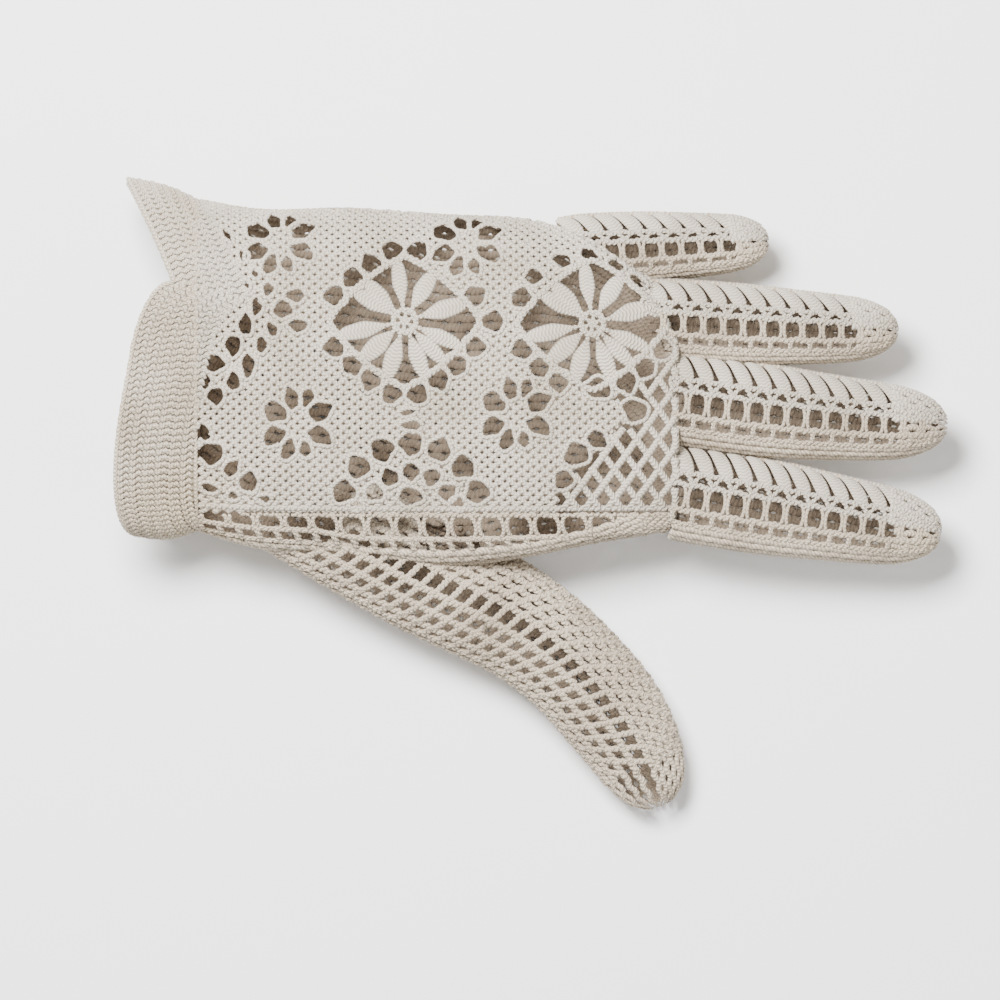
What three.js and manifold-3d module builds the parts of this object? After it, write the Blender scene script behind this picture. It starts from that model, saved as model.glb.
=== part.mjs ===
// A left-hand crochet lace glove, in the shape that it has when it is worn.
// +X runs from the wrist to the fingertips, +Y towards the little finger, +Z out of the back of the hand.
// The origin is the middle of the wrist, where the cuff meets the hand. Lengths are in millimetres.
import * as THREE from "three";
import { mergeVertices } from "three/addons/utils/BufferGeometryUtils.js";
import Module from "manifold-3d";

const wasm = await Module();
wasm.setup();

// Driving dimensions
const handLength = 124; // from the wrist seam to the webs between the fingers
const handBreadth = 90; // widest place of the hand, over the thumb's root
const handDepth = 31; // from the back of the hand to the palm, at its middle
const laceWall = 1.5; // thickness of the lace and of the crochet mesh
const cuffWall = 2.2; // thickness of the close-worked cuff
const cuffLength = 21.5; // from the wrist seam to the tip of a scallop
const scallopDepth = 15.5; // from the tip of a scallop to the bottom of its notch
const thumbLength = 131; // along its middle line, from the wrist
const thumbWidth = 29.4;
const thumbDepth = 22.5;
const seamGap = 0.4; // clear width of each seam between two pieces
const lacePanelEdge = 38.5; // from the middle of the hand to the thumb side of the lace
const fingerLength = 88.5; // the middle finger, along its middle line from inside the hand
const fingerWidth = 21.8;
const fingerDepth = 18.6;
const eyeletRadius = 6.8; // from the middle of an eyelet flower to the middle of its gaps
const leafRadius = 22.8; // from the middle of a leaf flower to the gaps round it
const fanRadius = 18.2; // from the middle of the fan to its outer gaps
const joinGap = 4.8; // length of an open stitch where the mesh joins the lace
const rowGap = 3.7; // length of an open stitch beside the lace strip of a finger

// How finely the round forms are faceted
const handSides = 24;
const handRings = 8;
const digitSides = 12;
const digitRings = 7;
const thumbSides = 12;
const thumbRings = 9;
const scallopSides = 11;
const cuffRings = 2;
const gapCorners = 5;
const stripPlaces = 2; // stretches of a finger's seam
const courseSteps = 60; // places along the middle line of a digit where a ring can stand
const tipCrowding = 0.85; // under 1 draws the rings of a digit towards its tip
const thinnest = 0.6; // half the width of the blunt end of a digit

// Cross-sections of the hand. along is a share of handLength. offset (to the little finger) and breadth are
// shares of handBreadth, depth and lift are shares of handDepth.
const handSections = [
  { along: 0.0, offset: 0.0, breadth: 0.944, depth: 1.36, lift: 0.0 },
  { along: 0.13, offset: -0.039, breadth: 0.965, depth: 1.22, lift: 0.0 },
  { along: 0.32, offset: -0.048, breadth: 0.99, depth: 1.1, lift: 0.01 },
  { along: 0.52, offset: -0.072, breadth: 1.0, depth: 1.05, lift: 0.03 },
  { along: 0.69, offset: -0.065, breadth: 0.96, depth: 1.0, lift: 0.05 },
  { along: 0.83, offset: -0.072, breadth: 0.87, depth: 0.92, lift: 0.06 },
  { along: 0.93, offset: -0.106, breadth: 0.76, depth: 0.8, lift: 0.06 },
  { along: 1.0, offset: -0.15, breadth: 0.64, depth: 0.62, lift: 0.05 },
];
const handSquareness = 2.35; // 2 is an ellipse, more is squarer
const digitSquareness = 2.1;

// The cuff, from the wrist seam out to the tips of the scallops. along is a share of cuffLength, and the rest
// are as for the hand.
const cuffSections = [
  { along: 0.0, offset: 0.0, breadth: 0.944, depth: 1.36 },
  { along: 0.37, offset: 0.008, breadth: 1.008, depth: 1.44 },
  { along: 0.79, offset: 0.024, breadth: 1.022, depth: 1.56 },
  { along: 1.0, offset: 0.03, breadth: 1.016, depth: 1.62 },
];

// The scallops of the cuff. from and to are shares of the rim, counted from the little-finger side over the
// back of the hand. reach is a share of cuffLength. fullness is the power of the sine that rounds the lobe.
const scallops = [
  { from: -0.19, to: 0.185, reach: 0.87, fullness: 1.0 },
  { from: 0.185, to: 0.55, reach: 1.0, fullness: 0.5 },
  { from: 0.55, to: 0.81, reach: 0.93, fullness: 0.75 },
];

// The four fingers. length, width and depth are shares of those of the middle finger. root is the place where
// the middle line starts, as shares of handLength, handBreadth and handDepth. heading and turn are degrees in
// the plane of the hand, and droop and curl are degrees below it, at the root and gained by the tip.
const fingers = [
  {
    name: "little",
    length: 0.6893,
    width: 0.7523,
    depth: 0.8333,
    root: { along: 0.71, across: 0.33, up: -0.1 },
    heading: 2.0,
    turn: 1.5,
    droop: 2,
    curl: 8,
  },
  {
    name: "ring",
    length: 0.8475,
    width: 0.8578,
    depth: 0.914,
    root: { along: 0.87, across: 0.146, up: 0.06 },
    heading: -5.0,
    turn: 4.0,
    droop: 1,
    curl: 10,
  },
  {
    name: "middle",
    length: 1,
    width: 1,
    depth: 1,
    root: { along: 0.87, across: -0.064, up: 0.1 },
    heading: -10.2,
    turn: 7.6,
    droop: 1,
    curl: 10,
  },
  {
    name: "index",
    length: 0.9887,
    width: 1.0367,
    depth: 1.0215,
    root: { along: 0.87, across: -0.332, up: 0.07 },
    heading: -10.3,
    turn: 2.0,
    droop: 1,
    curl: 10,
  },
];

// Taper of a finger. along is a share of its length, size a share of its width and depth.
const fingerTaper = [
  { along: 0.0, size: 0.86 },
  { along: 0.18, size: 1.03 },
  { along: 0.36, size: 1.05 },
  { along: 0.5, size: 1.02 },
  { along: 0.65, size: 0.945 },
  { along: 0.8, size: 0.86 },
  { along: 0.88, size: 0.77 },
  { along: 0.94, size: 0.6 },
  { along: 0.98, size: 0.38 },
  { along: 1.0, size: 0.14 },
];

// The thumb, from the wrist over its ball to the tip. along is a share of thumbLength, heading is in degrees,
// and size is a share of thumbWidth and thumbDepth.
const thumbRoot = { along: 0.185, across: -0.387, up: -0.1 };
const thumbCourse = [
  { along: 0.0, heading: -30, size: 0.92 },
  { along: 0.28, heading: -28, size: 1.0 },
  { along: 0.45, heading: -27, size: 0.97 },
  { along: 0.55, heading: -35, size: 0.93 },
  { along: 0.68, heading: -46, size: 0.89 },
  { along: 0.78, heading: -53, size: 0.88 },
  { along: 0.87, heading: -62, size: 0.79 },
  { along: 0.94, heading: -67, size: 0.64 },
  { along: 0.98, heading: -70, size: 0.43 },
  { along: 1.0, heading: -70, size: 0.15 },
];
const thumbDroop = 6; // degrees below the plane of the hand

// Web points, where neighbouring pieces part, as shares of handLength and handBreadth. tipAlong and tipAcross
// say where the parting line between two fingers leaves the glove.
const webs = [
  { along: 0.74, across: 0.43, tipAlong: 0.6, tipAcross: 0.75 },
  { along: 0.948, across: 0.247, tipAlong: 1.7, tipAcross: 0.24 },
  { along: 1.02, across: 0.019, tipAlong: 1.7, tipAcross: -0.025 },
  { along: 1.03, across: -0.226, tipAlong: 1.7, tipAcross: -0.325 },
  { along: 1.02, across: -0.62, tipAlong: 1.7, tipAcross: -0.62 },
];
const thumbWeb = { along: 0.675, across: -0.556 };
const thumbHeel = { along: 0.56, across: -0.87 };
const thumbClear = 0.17; // the thumb's piece ends this far below its web, so that it keeps off the fingers

// The lace motifs on the back of the hand. along and across are shares of handLength and handBreadth, with
// across measured over the curved back from the middle of the hand.
const eyelets = [
  { along: 0.21, across: -0.17 },
  { along: 0.667, across: -0.142 },
  { along: 0.172, across: 0.365 },
  { along: 0.563, across: 0.36 },
];
const leafFlowers = [
  { along: 0.434, across: 0.124 },
  { along: 0.826, across: 0.118 },
];
const fan = { along: 0.447, across: -0.43 };

// Rings of gaps in the motifs. radius, length (away from the centre) and width are shares of the radius of
// the motif. start and sweep are in degrees from +X towards +Y. squeeze flattens the ring across the hand.
// roundness 2 keeps it round, where a smaller one draws its sides in to a diamond.
const eyeletRings = [
  { count: 2, radius: 0.985, start: 30, sweep: 120, length: 0.735, width: 0.706, squeeze: 1, roundness: 2 },
  { count: 2, radius: 0.985, start: 210, sweep: 120, length: 0.735, width: 0.706, squeeze: 1, roundness: 2 },
  { count: 2, radius: 1, start: 69, sweep: 42, length: 0.706, width: 0.397, squeeze: 1, roundness: 2 },
  { count: 2, radius: 1, start: 249, sweep: 42, length: 0.706, width: 0.397, squeeze: 1, roundness: 2 },
];
const leafRings = [
  { count: 18, radius: 1, start: 0, sweep: 340, length: 0.202, width: 0.193, squeeze: 0.88, roundness: 1.25 },
];
const fanRings = [
  { count: 7, radius: 1, start: 18, sweep: 144, length: 0.297, width: 0.286, squeeze: 1, roundness: 2 },
  { count: 5, radius: 0.604, start: 30, sweep: 120, length: 0.198, width: 0.198, squeeze: 1, roundness: 2 },
];
const gapSpacing = 5.6; // centres of gaps of different motifs lie at least this far apart
const seamClearance = 0.75; // from a gap's centre to the nearest seam, as a share of the gap's length

// Slanted nets of diamond gaps: one beside the cuff, one between the lace flowers and the fingers.
const nets = [
  { along: 0.088, across: 0.01, rows: 3, columns: 3 },
  { along: 0.88, across: -0.21, rows: 3, columns: 4 },
];
const netPitch = 5.6; // between the centres of neighbouring gaps
const netGap = 3.3; // across the corners of a gap
const netSlant = 57; // degrees between a thread of the net and the length of the hand

// The row of open stitches where the mesh on the thumb side joins the lace. width is a share of joinGap.
const joinRow = { from: 0.3, to: 0.66, across: -0.5, count: 6, width: 0.875 };

// The row of open stitches beside the lace strip of each finger. from and to are shares of the finger's
// length, and width is a share of rowGap.
const fingerRow = { from: 0.4, to: 0.8, count: 5, width: 0.946 };
const stripEdge = 0.02; // from the middle line of a finger to the edge of its strip, as a share of its width

const yarn = new THREE.MeshStandardMaterial({ color: 0xd9d0c1, roughness: 0.85, metalness: 0 });
const laceThread = new THREE.MeshStandardMaterial({ color: 0xdfd9cd, roughness: 0.8, metalness: 0 });

// Value of one column of a table at a place along it: a cubic through the rows, with slopes from the rows
// beside them.
function smoothAt(rows, column, along) {
  const last = rows.length - 1;
  let i = rows.findIndex((row) => row.along > along) - 1;
  if (i < 0) i = along <= rows[0].along ? 0 : last - 1;
  const slope = (k) => {
    const a = rows[Math.max(k - 1, 0)];
    const b = rows[Math.min(k + 1, last)];
    return (b[column] - a[column]) / (b.along - a.along);
  };
  const step = rows[i + 1].along - rows[i].along;
  const t = Math.min(Math.max((along - rows[i].along) / step, 0), 1);
  const rise = rows[i + 1][column] - rows[i][column];
  const startSlope = slope(i) * step;
  const endSlope = slope(i + 1) * step;
  const square = 3 * rise - 2 * startSlope - endSlope;
  const cube = startSlope + endSlope - 2 * rise;
  return rows[i][column] + t * (startSlope + t * (square + t * cube));
}

// Point at an angle round a rounded oblong section, in its own plane.
function ovalPoint(angle, halfWidth, halfDepth, squareness) {
  const power = 2 / squareness;
  const round = (value) => Math.sign(value) * Math.abs(value) ** power;
  return [halfWidth * round(Math.cos(angle)), halfDepth * round(Math.sin(angle))];
}

// Section of the hand at a place along it, in millimetres.
function handSection(along) {
  return {
    centre: smoothAt(handSections, "offset", along) * handBreadth,
    lift: smoothAt(handSections, "lift", along) * handDepth,
    halfWidth: (smoothAt(handSections, "breadth", along) * handBreadth) / 2,
    halfDepth: (smoothAt(handSections, "depth", along) * handDepth) / 2,
  };
}

// Closed solid through rings of points, with a fan of faces over each end.
function loft(rings) {
  const sides = rings[0].length;
  const middle = (ring) =>
    ring.reduce((sum, p) => sum.add(p), new THREE.Vector3()).divideScalar(sides);
  const points = [...rings.flat(), middle(rings[0]), middle(rings.at(-1))];
  const faces = [];
  for (let j = 0; j < sides; j++) {
    const k = (j + 1) % sides;
    const end = (rings.length - 1) * sides;
    for (let i = 0; i < rings.length - 1; i++) {
      const a = i * sides + j;
      const b = i * sides + k;
      faces.push(a, a + sides, b, b, a + sides, b + sides);
    }
    faces.push(points.length - 2, j, k, points.length - 1, end + k, end + j);
  }
  return solidOf(points, faces);
}

// Closed solid between an outer and an inner skin of a tube that is open at both ends.
function openTube(outer, inner) {
  const sides = outer[0].length;
  const skin = outer.length * sides;
  const points = [...outer.flat(), ...inner.flat()];
  const faces = [];
  for (let j = 0; j < sides; j++) {
    const k = (j + 1) % sides;
    for (let i = 0; i < outer.length - 1; i++) {
      const a = i * sides + j;
      const b = i * sides + k;
      faces.push(a, a + sides, b, b, a + sides, b + sides);
      faces.push(skin + a, skin + b, skin + a + sides, skin + b, skin + b + sides, skin + a + sides);
    }
    const end = (outer.length - 1) * sides;
    faces.push(j, k, skin + j, k, skin + k, skin + j);
    faces.push(end + j, skin + end + j, end + k, end + k, skin + end + j, skin + end + k);
  }
  return solidOf(points, faces);
}

function solidOf(points, faces) {
  const geometry = new THREE.BufferGeometry().setFromPoints(points);
  geometry.setIndex(faces);
  return manifoldOf(geometry);
}

// A three.js geometry as a manifold solid, turned right side out.
function manifoldOf(geometry) {
  const bare = geometry.clone();
  bare.deleteAttribute("normal");
  bare.deleteAttribute("uv");
  const merged = mergeVertices(bare, 1e-4);
  const vertProperties = new Float32Array(merged.attributes.position.array);
  const triVerts = new Uint32Array(merged.index.array);
  const make = () => new wasm.Manifold(new wasm.Mesh({ numProp: 3, vertProperties, triVerts }));
  const made = make();
  if (made.volume() > 0) return made;
  for (let i = 0; i < triVerts.length; i += 3) {
    [triVerts[i + 1], triVerts[i + 2]] = [triVerts[i + 2], triVerts[i + 1]];
  }
  return make();
}

// The hand as a closed form, inset from its outer skin. The outer form starts at the wrist seam, and the
// hollow runs out through it.
function handForm(inset) {
  const rings = [];
  const start = inset ? -seamGap : seamGap / 2;
  const end = handLength - inset;
  for (let i = 0; i <= handRings; i++) {
    const x = start + ((end - start) * i) / handRings;
    const s = handSection(Math.max(x / handLength, 0));
    const ring = [];
    for (let j = 0; j < handSides; j++) {
      const angle = (2 * Math.PI * j) / handSides;
      const [y, z] = ovalPoint(angle, s.halfWidth - inset, s.halfDepth - inset, handSquareness);
      ring.push(new THREE.Vector3(x, s.centre + y, s.lift + z));
    }
    rings.push(ring);
  }
  return loft(rings);
}

// Middle line of a digit: evenly spaced places with their direction, from headings and droops in degrees.
function courseOf(root, length, headingAt, droopAt, places) {
  const fine = 12; // short steps between two places, which keep the curve true
  const step = length / (places * fine);
  const point = new THREE.Vector3(
    root.along * handLength,
    root.across * handBreadth,
    root.up * handDepth,
  );
  const course = [];
  for (let i = 0; i <= places * fine; i++) {
    const share = i / (places * fine);
    const heading = THREE.MathUtils.degToRad(headingAt(share));
    const droop = THREE.MathUtils.degToRad(droopAt(share));
    const forward = new THREE.Vector3(
      Math.cos(heading) * Math.cos(droop),
      Math.sin(heading) * Math.cos(droop),
      -Math.sin(droop),
    );
    const side = new THREE.Vector3(-Math.sin(heading), Math.cos(heading), 0);
    if (i % fine === 0) {
      course.push({ share, point: point.clone(), side, up: forward.clone().cross(side) });
    }
    point.addScaledVector(forward, step);
  }
  return course;
}

// Rings of a digit, inset from its outer skin and ending that much short of its tip.
function digitForm(digit, inset, sides, places) {
  const reach = (digit.length - inset) / digit.length;
  const course = courseOf(digit.root, digit.length, digit.headingAt, digit.droopAt, courseSteps);
  const rings = [];
  for (let i = 0; i <= places; i++) {
    const share = reach * Math.sin(((Math.PI / 2) * i) / places) ** tipCrowding;
    const at = course[Math.round(share * courseSteps)];
    const size = smoothAt(digit.taper, "size", share / reach);
    const ring = [];
    for (let j = 0; j < sides; j++) {
      const angle = (2 * Math.PI * j) / sides;
      const halfWidth = Math.max((digit.width * size) / 2 - inset, thinnest);
      const halfDepth = Math.max((digit.depth * size) / 2 - inset, thinnest);
      const [a, b] = ovalPoint(angle, halfWidth, halfDepth, digitSquareness);
      ring.push(at.point.clone().addScaledVector(at.side, a).addScaledVector(at.up, b));
    }
    rings.push(ring);
  }
  return loft(rings);
}

const fingerDigits = fingers.map((finger) => ({
  ...finger,
  length: finger.length * fingerLength,
  width: finger.width * fingerWidth,
  depth: finger.depth * fingerDepth,
  taper: fingerTaper,
  headingAt: (share) => finger.heading + finger.turn * share,
  droopAt: (share) => finger.droop + finger.curl * share,
}));
const thumbDigit = {
  name: "thumb",
  root: thumbRoot,
  length: thumbLength,
  width: thumbWidth,
  depth: thumbDepth,
  taper: thumbCourse,
  headingAt: (share) => smoothAt(thumbCourse, "heading", share),
  droopAt: () => thumbDroop,
};

// Every digit and the hand joined, then hollowed.
function gloveShell() {
  const whole = (inset) => {
    const digits = fingerDigits.map((digit) => digitForm(digit, inset, digitSides, digitRings));
    const thumb = digitForm(thumbDigit, inset, thumbSides, thumbRings);
    return digits.reduce((sum, digit) => sum.add(digit), handForm(inset).add(thumb));
  };
  return whole(0).subtract(whole(laceWall));
}

const reachUp = 2 * handDepth; // past the glove on either side of the hand's plane
const plan = (web) => new THREE.Vector2(web.along * handLength, web.across * handBreadth);
const planTip = (web) => new THREE.Vector2(web.tipAlong * handLength, web.tipAcross * handBreadth);

// Upright prism over an outline in the plane of the hand.
function prism(outline) {
  const geometry = new THREE.ExtrudeGeometry(new THREE.Shape(outline), {
    depth: 2 * reachUp,
    bevelEnabled: false,
  });
  return manifoldOf(geometry.translate(0, 0, -reachUp));
}

// Thin upright wall along a line in the plane of the hand, which opens a seam.
function seamWall(from, to) {
  const length = from.distanceTo(to) + seamGap;
  const wall = new THREE.BoxGeometry(length, seamGap, 2 * reachUp);
  wall.rotateZ(Math.atan2(to.y - from.y, to.x - from.x));
  return manifoldOf(wall.translate((from.x + to.x) / 2, (from.y + to.y) / 2, 0));
}

const box = (low, high) => {
  const size = new THREE.Vector3().subVectors(high, low);
  const middle = new THREE.Vector3().addVectors(low, high).multiplyScalar(0.5);
  return manifoldOf(new THREE.BoxGeometry(size.x, size.y, size.z).translate(middle.x, middle.y, middle.z));
};

// The part of a finger that the lace strip covers: its back, from the little-finger side past the middle.
// grow widens it by half a seam to cut the mesh, and narrows it to cut the strip.
function stripRegion(digit, grow) {
  const course = courseOf(digit.root, digit.length, digit.headingAt, digit.droopAt, stripPlaces);
  const low = stripEdge * digit.width - grow;
  const rings = course.map((at) =>
    [
      [low, -grow],
      [digit.width, -grow],
      [digit.width, digit.depth],
      [low, digit.depth],
    ].map(([a, b]) => at.point.clone().addScaledVector(at.side, a).addScaledVector(at.up, b)),
  );
  return loft(rings);
}

// Height of the middle of the hand's edge, where the lace on the back meets the mesh of the palm.
const edgeHeight = 0.02 * handDepth;

function backRegion(grow) {
  const low = new THREE.Vector3(-handLength, -lacePanelEdge - grow, edgeHeight - grow);
  return box(low, new THREE.Vector3(2 * handLength, handBreadth, reachUp));
}

// Where a place on the lace lies: x along the hand, across measured over its back from the plane y = 0. Gives
// the point on the skin, and the directions along, across and out of it.
function backPlace(x, across) {
  const s = handSection(x / handLength);
  const steps = 90; // places over the back, from the thumb side to the other
  const points = [];
  for (let i = 0; i <= steps; i++) {
    const [y, z] = ovalPoint((Math.PI * (steps - i)) / steps, s.halfWidth, s.halfDepth, handSquareness);
    points.push(new THREE.Vector3(x, s.centre + y, s.lift + z));
  }
  const lengths = [0];
  for (let i = 1; i <= steps; i++) lengths.push(lengths[i - 1] + points[i].distanceTo(points[i - 1]));
  const middle = points.findIndex((p) => p.y >= 0);
  const atTop = new THREE.Vector3(x, 0, points[middle].z);
  const atMiddle = lengths[middle - 1] + points[middle - 1].distanceTo(atTop);
  const wanted = Math.min(Math.max(atMiddle + across, 1), lengths[steps] - 1);
  const i = lengths.findIndex((length) => length >= wanted);
  const acrossWay = points[i].clone().sub(points[i - 1]).normalize();
  const point = points[i - 1].clone().addScaledVector(acrossWay, wanted - lengths[i - 1]);
  const alongWay = new THREE.Vector3(1, 0, 0);
  return { point, alongWay, acrossWay, outWay: alongWay.clone().cross(acrossWay) };
}

const cutDepth = 5 * laceWall; // a cutter stands out of the wall on both of its sides

// Cutter for one gap in the lace: an outline laid on the skin, turned by an angle, and pushed through.
function gapCutter(x, across, turn, outline) {
  const at = backPlace(x, across);
  const geometry = new THREE.ExtrudeGeometry(new THREE.Shape(outline), {
    depth: cutDepth,
    bevelEnabled: false,
  });
  geometry.translate(0, 0, -cutDepth / 2).rotateZ(turn);
  const place = new THREE.Matrix4().makeBasis(at.alongWay, at.acrossWay, at.outWay);
  return manifoldOf(geometry.applyMatrix4(place.setPosition(at.point)));
}

// Outline of a gap: a rounded form of a length and a width.
function gapOutline(length, width) {
  return Array.from({ length: gapCorners }, (_, i) => {
    const angle = (2 * Math.PI * i) / gapCorners;
    return new THREE.Vector2((length / 2) * Math.cos(angle), (width / 2) * Math.sin(angle));
  });
}

// Gaps round a motif of a size: each has its place on the lace, the way that it points, and its own size.
function ringGaps(motif, rings, size) {
  return rings.flatMap((ring) =>
    Array.from({ length: ring.count }, (_, i) => {
      const turn = THREE.MathUtils.degToRad(ring.start + (ring.sweep * i) / (ring.count - 1));
      const power = ring.roundness;
      const reach = Math.abs(Math.cos(turn)) ** power + Math.abs(Math.sin(turn) / ring.squeeze) ** power;
      const radius = size * ring.radius * reach ** (-1 / power);
      const x = motif.along * handLength + radius * Math.cos(turn);
      const across = motif.across * handBreadth + radius * Math.sin(turn);
      return { x, across, turn, length: size * ring.length, width: size * ring.width };
    }),
  );
}

// The gaps of a list that stay clear of the seams and of those that are there already.
function clearGaps(gaps, taken) {
  return gaps.filter((gap) => {
    const { point } = backPlace(gap.x, gap.across);
    const flat = new THREE.Vector3(point.x, point.y, 0);
    const nearest = (line) => line.closestPointToPoint(flat, true, new THREE.Vector3());
    const fromSeam = (line) => nearest(line).distanceTo(flat);
    const between = (other) => Math.hypot(other.x - gap.x, other.across - gap.across);
    const apart = taken.every((other) => between(other) > gapSpacing);
    return apart && laceSeams.every((line) => fromSeam(line) > seamClearance * gap.length);
  });
}

function netGaps(net) {
  const slant = THREE.MathUtils.degToRad(netSlant);
  const gaps = [];
  for (let i = 0; i < net.rows; i++) {
    for (let j = 0; j < net.columns; j++) {
      const x = net.along * handLength + (i + j - 2) * netPitch * Math.cos(slant);
      const across = net.across * handBreadth + (i - j) * netPitch * Math.sin(slant);
      gaps.push({ x, across, turn: 0, length: netGap, width: netGap });
    }
  }
  return gaps;
}

function laceCutter(gap) {
  return gapCutter(gap.x, gap.across, gap.turn, gapOutline(gap.length, gap.width));
}

function joinRowCutters() {
  const outline = gapOutline(joinGap, joinRow.width * joinGap);
  return Array.from({ length: joinRow.count }, (_, i) => {
    const along = joinRow.from + ((joinRow.to - joinRow.from) * i) / (joinRow.count - 1);
    return gapCutter(along * handLength, joinRow.across * handBreadth, 0, outline);
  });
}

// Cutters for the row of open stitches along a finger, pushed down through its back.
function fingerRowCutters(digit) {
  const places = 50;
  const course = courseOf(digit.root, digit.length, digit.headingAt, digit.droopAt, places);
  return Array.from({ length: fingerRow.count }, (_, i) => {
    const share = fingerRow.from + ((fingerRow.to - fingerRow.from) * i) / (fingerRow.count - 1);
    const at = course[Math.round(share * places)];
    const size = smoothAt(digit.taper, "size", share);
    const width = fingerRow.width * rowGap;
    const aside = stripEdge * digit.width - seamGap - width / 2;
    const outline = gapOutline(rowGap * size, width * size);
    const geometry = new THREE.ExtrudeGeometry(new THREE.Shape(outline), {
      depth: digit.depth,
      bevelEnabled: false,
    });
    const forward = at.side.clone().cross(at.up);
    const place = new THREE.Matrix4().makeBasis(forward, at.side, at.up);
    place.setPosition(at.point.clone().addScaledVector(at.side, aside * size));
    return manifoldOf(geometry.applyMatrix4(place));
  });
}

// The cuff: a flared tube whose rim is cut in scallops, worked thicker than the rest.
function cuff() {
  const skin = (inset) => {
    const rings = [];
    for (let i = 0; i <= cuffRings; i++) {
      const ring = [];
      for (const place of rimPlaces()) {
        const share = (i / cuffRings) * place.reach;
        const angle = 2 * Math.PI * place.share;
        const halfWidth = (smoothAt(cuffSections, "breadth", share) * handBreadth) / 2 - inset;
        const halfDepth = (smoothAt(cuffSections, "depth", share) * handDepth) / 2 - inset;
        const [y, z] = ovalPoint(angle, halfWidth, halfDepth, handSquareness);
        const centre = smoothAt(cuffSections, "offset", share) * handBreadth;
        ring.push(new THREE.Vector3(-seamGap / 2 - share * cuffLength, centre + y, z));
      }
      rings.push(ring);
    }
    return rings;
  };
  return openTube(skin(0), skin(cuffWall));
}

// Places round the rim, the same number in each scallop. share is how far round the place lies, and reach how
// far the rim stands out there, as a share of cuffLength.
function rimPlaces() {
  const notch = 1 - scallopDepth / cuffLength;
  return scallops.flatMap((lobe) =>
    Array.from({ length: scallopSides }, (_, k) => {
      const rise = Math.sin((Math.PI * k) / scallopSides) ** lobe.fullness;
      const share = lobe.from + ((lobe.to - lobe.from) * k) / scallopSides;
      return { share, reach: notch + (lobe.reach - notch) * rise };
    }),
  );
}

const glove = new THREE.Group();

// Adds a piece as one solid. Loose slivers that the seams leave beside it are dropped.
function addPiece(name, solid, material) {
  const parts = solid.decompose().sort((a, b) => b.volume() - a.volume());
  const mesh = parts[0].getMesh();
  const geometry = new THREE.BufferGeometry();
  geometry.setAttribute("position", new THREE.BufferAttribute(mesh.vertProperties, 3));
  geometry.setIndex(new THREE.BufferAttribute(mesh.triVerts, 1));
  geometry.computeVertexNormals();
  const piece = new THREE.Mesh(geometry, material);
  piece.name = name;
  glove.add(piece);
}

const corners = webs.map(plan);
const laceSeams = [
  ...corners.slice(1).map((corner, i) => [corners[i], corner]),
  [new THREE.Vector2(0, -handBreadth), new THREE.Vector2(0, handBreadth)],
  [new THREE.Vector2(0, -lacePanelEdge), new THREE.Vector2(handLength, -lacePanelEdge)],
].map(([a, b]) => new THREE.Line3(new THREE.Vector3(a.x, a.y, 0), new THREE.Vector3(b.x, b.y, 0)));
const tips = webs.map(planTip);
const thumbCorner = plan(thumbWeb);
const thumbHeelCorner = plan(thumbHeel);
const thumbFar = [
  new THREE.Vector2(thumbHeelCorner.x, -2 * handBreadth),
  new THREE.Vector2(2 * handLength, -2 * handBreadth),
  new THREE.Vector2(2 * handLength, thumbCorner.y - thumbClear * handBreadth),
];
const seams = [
  ...corners.slice(1).map((corner, i) => seamWall(corners[i], corner)),
  ...corners.slice(1, 4).map((corner, i) => seamWall(corner, tips[i + 1])),
  seamWall(thumbCorner, thumbHeelCorner),
];
const shell = seams.reduce((rest, wall) => rest.subtract(wall), gloveShell());

const fingerPrisms = fingerDigits.map((_, i) =>
  prism([corners[i], tips[i], tips[i + 1], corners[i + 1]]),
);
const thumbPrism = prism([thumbCorner, thumbHeelCorner, ...thumbFar]);
const handPart = fingerPrisms.reduce((rest, region) => rest.subtract(region), shell).subtract(thumbPrism);

// Every gap in the lace, each motif kept clear of the ones before it.
const laceGaps = [
  ...eyelets.map((motif) => ringGaps(motif, eyeletRings, eyeletRadius)),
  ringGaps(fan, fanRings, fanRadius),
  ...leafFlowers.map((motif) => ringGaps(motif, leafRings, leafRadius)),
  ...nets.map(netGaps),
].reduce((taken, gaps) => [...taken, ...clearGaps(gaps, taken)], []);

const pierced = (solid, cutters) => cutters.reduce((rest, cutter) => rest.subtract(cutter), solid);
const backPanel = handPart.intersect(backRegion(-seamGap / 2));
const palmSide = handPart.subtract(backRegion(seamGap / 2));

addPiece("cuff_band", cuff(), yarn);
addPiece("back_lace_panel", pierced(backPanel, laceGaps.map(laceCutter)), laceThread);
addPiece("palm_mesh", pierced(palmSide, joinRowCutters()), yarn);
addPiece("thumb_mesh", shell.intersect(thumbPrism), yarn);
fingerDigits.forEach((digit, i) => {
  const finger = shell.intersect(fingerPrisms[i]);
  const mesh = finger.subtract(stripRegion(digit, seamGap / 2));
  addPiece(digit.name + "_lace_strip", finger.intersect(stripRegion(digit, -seamGap / 2)), laceThread);
  addPiece(digit.name + "_mesh", pierced(mesh, fingerRowCutters(digit)), yarn);
});

export default glove;
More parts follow.
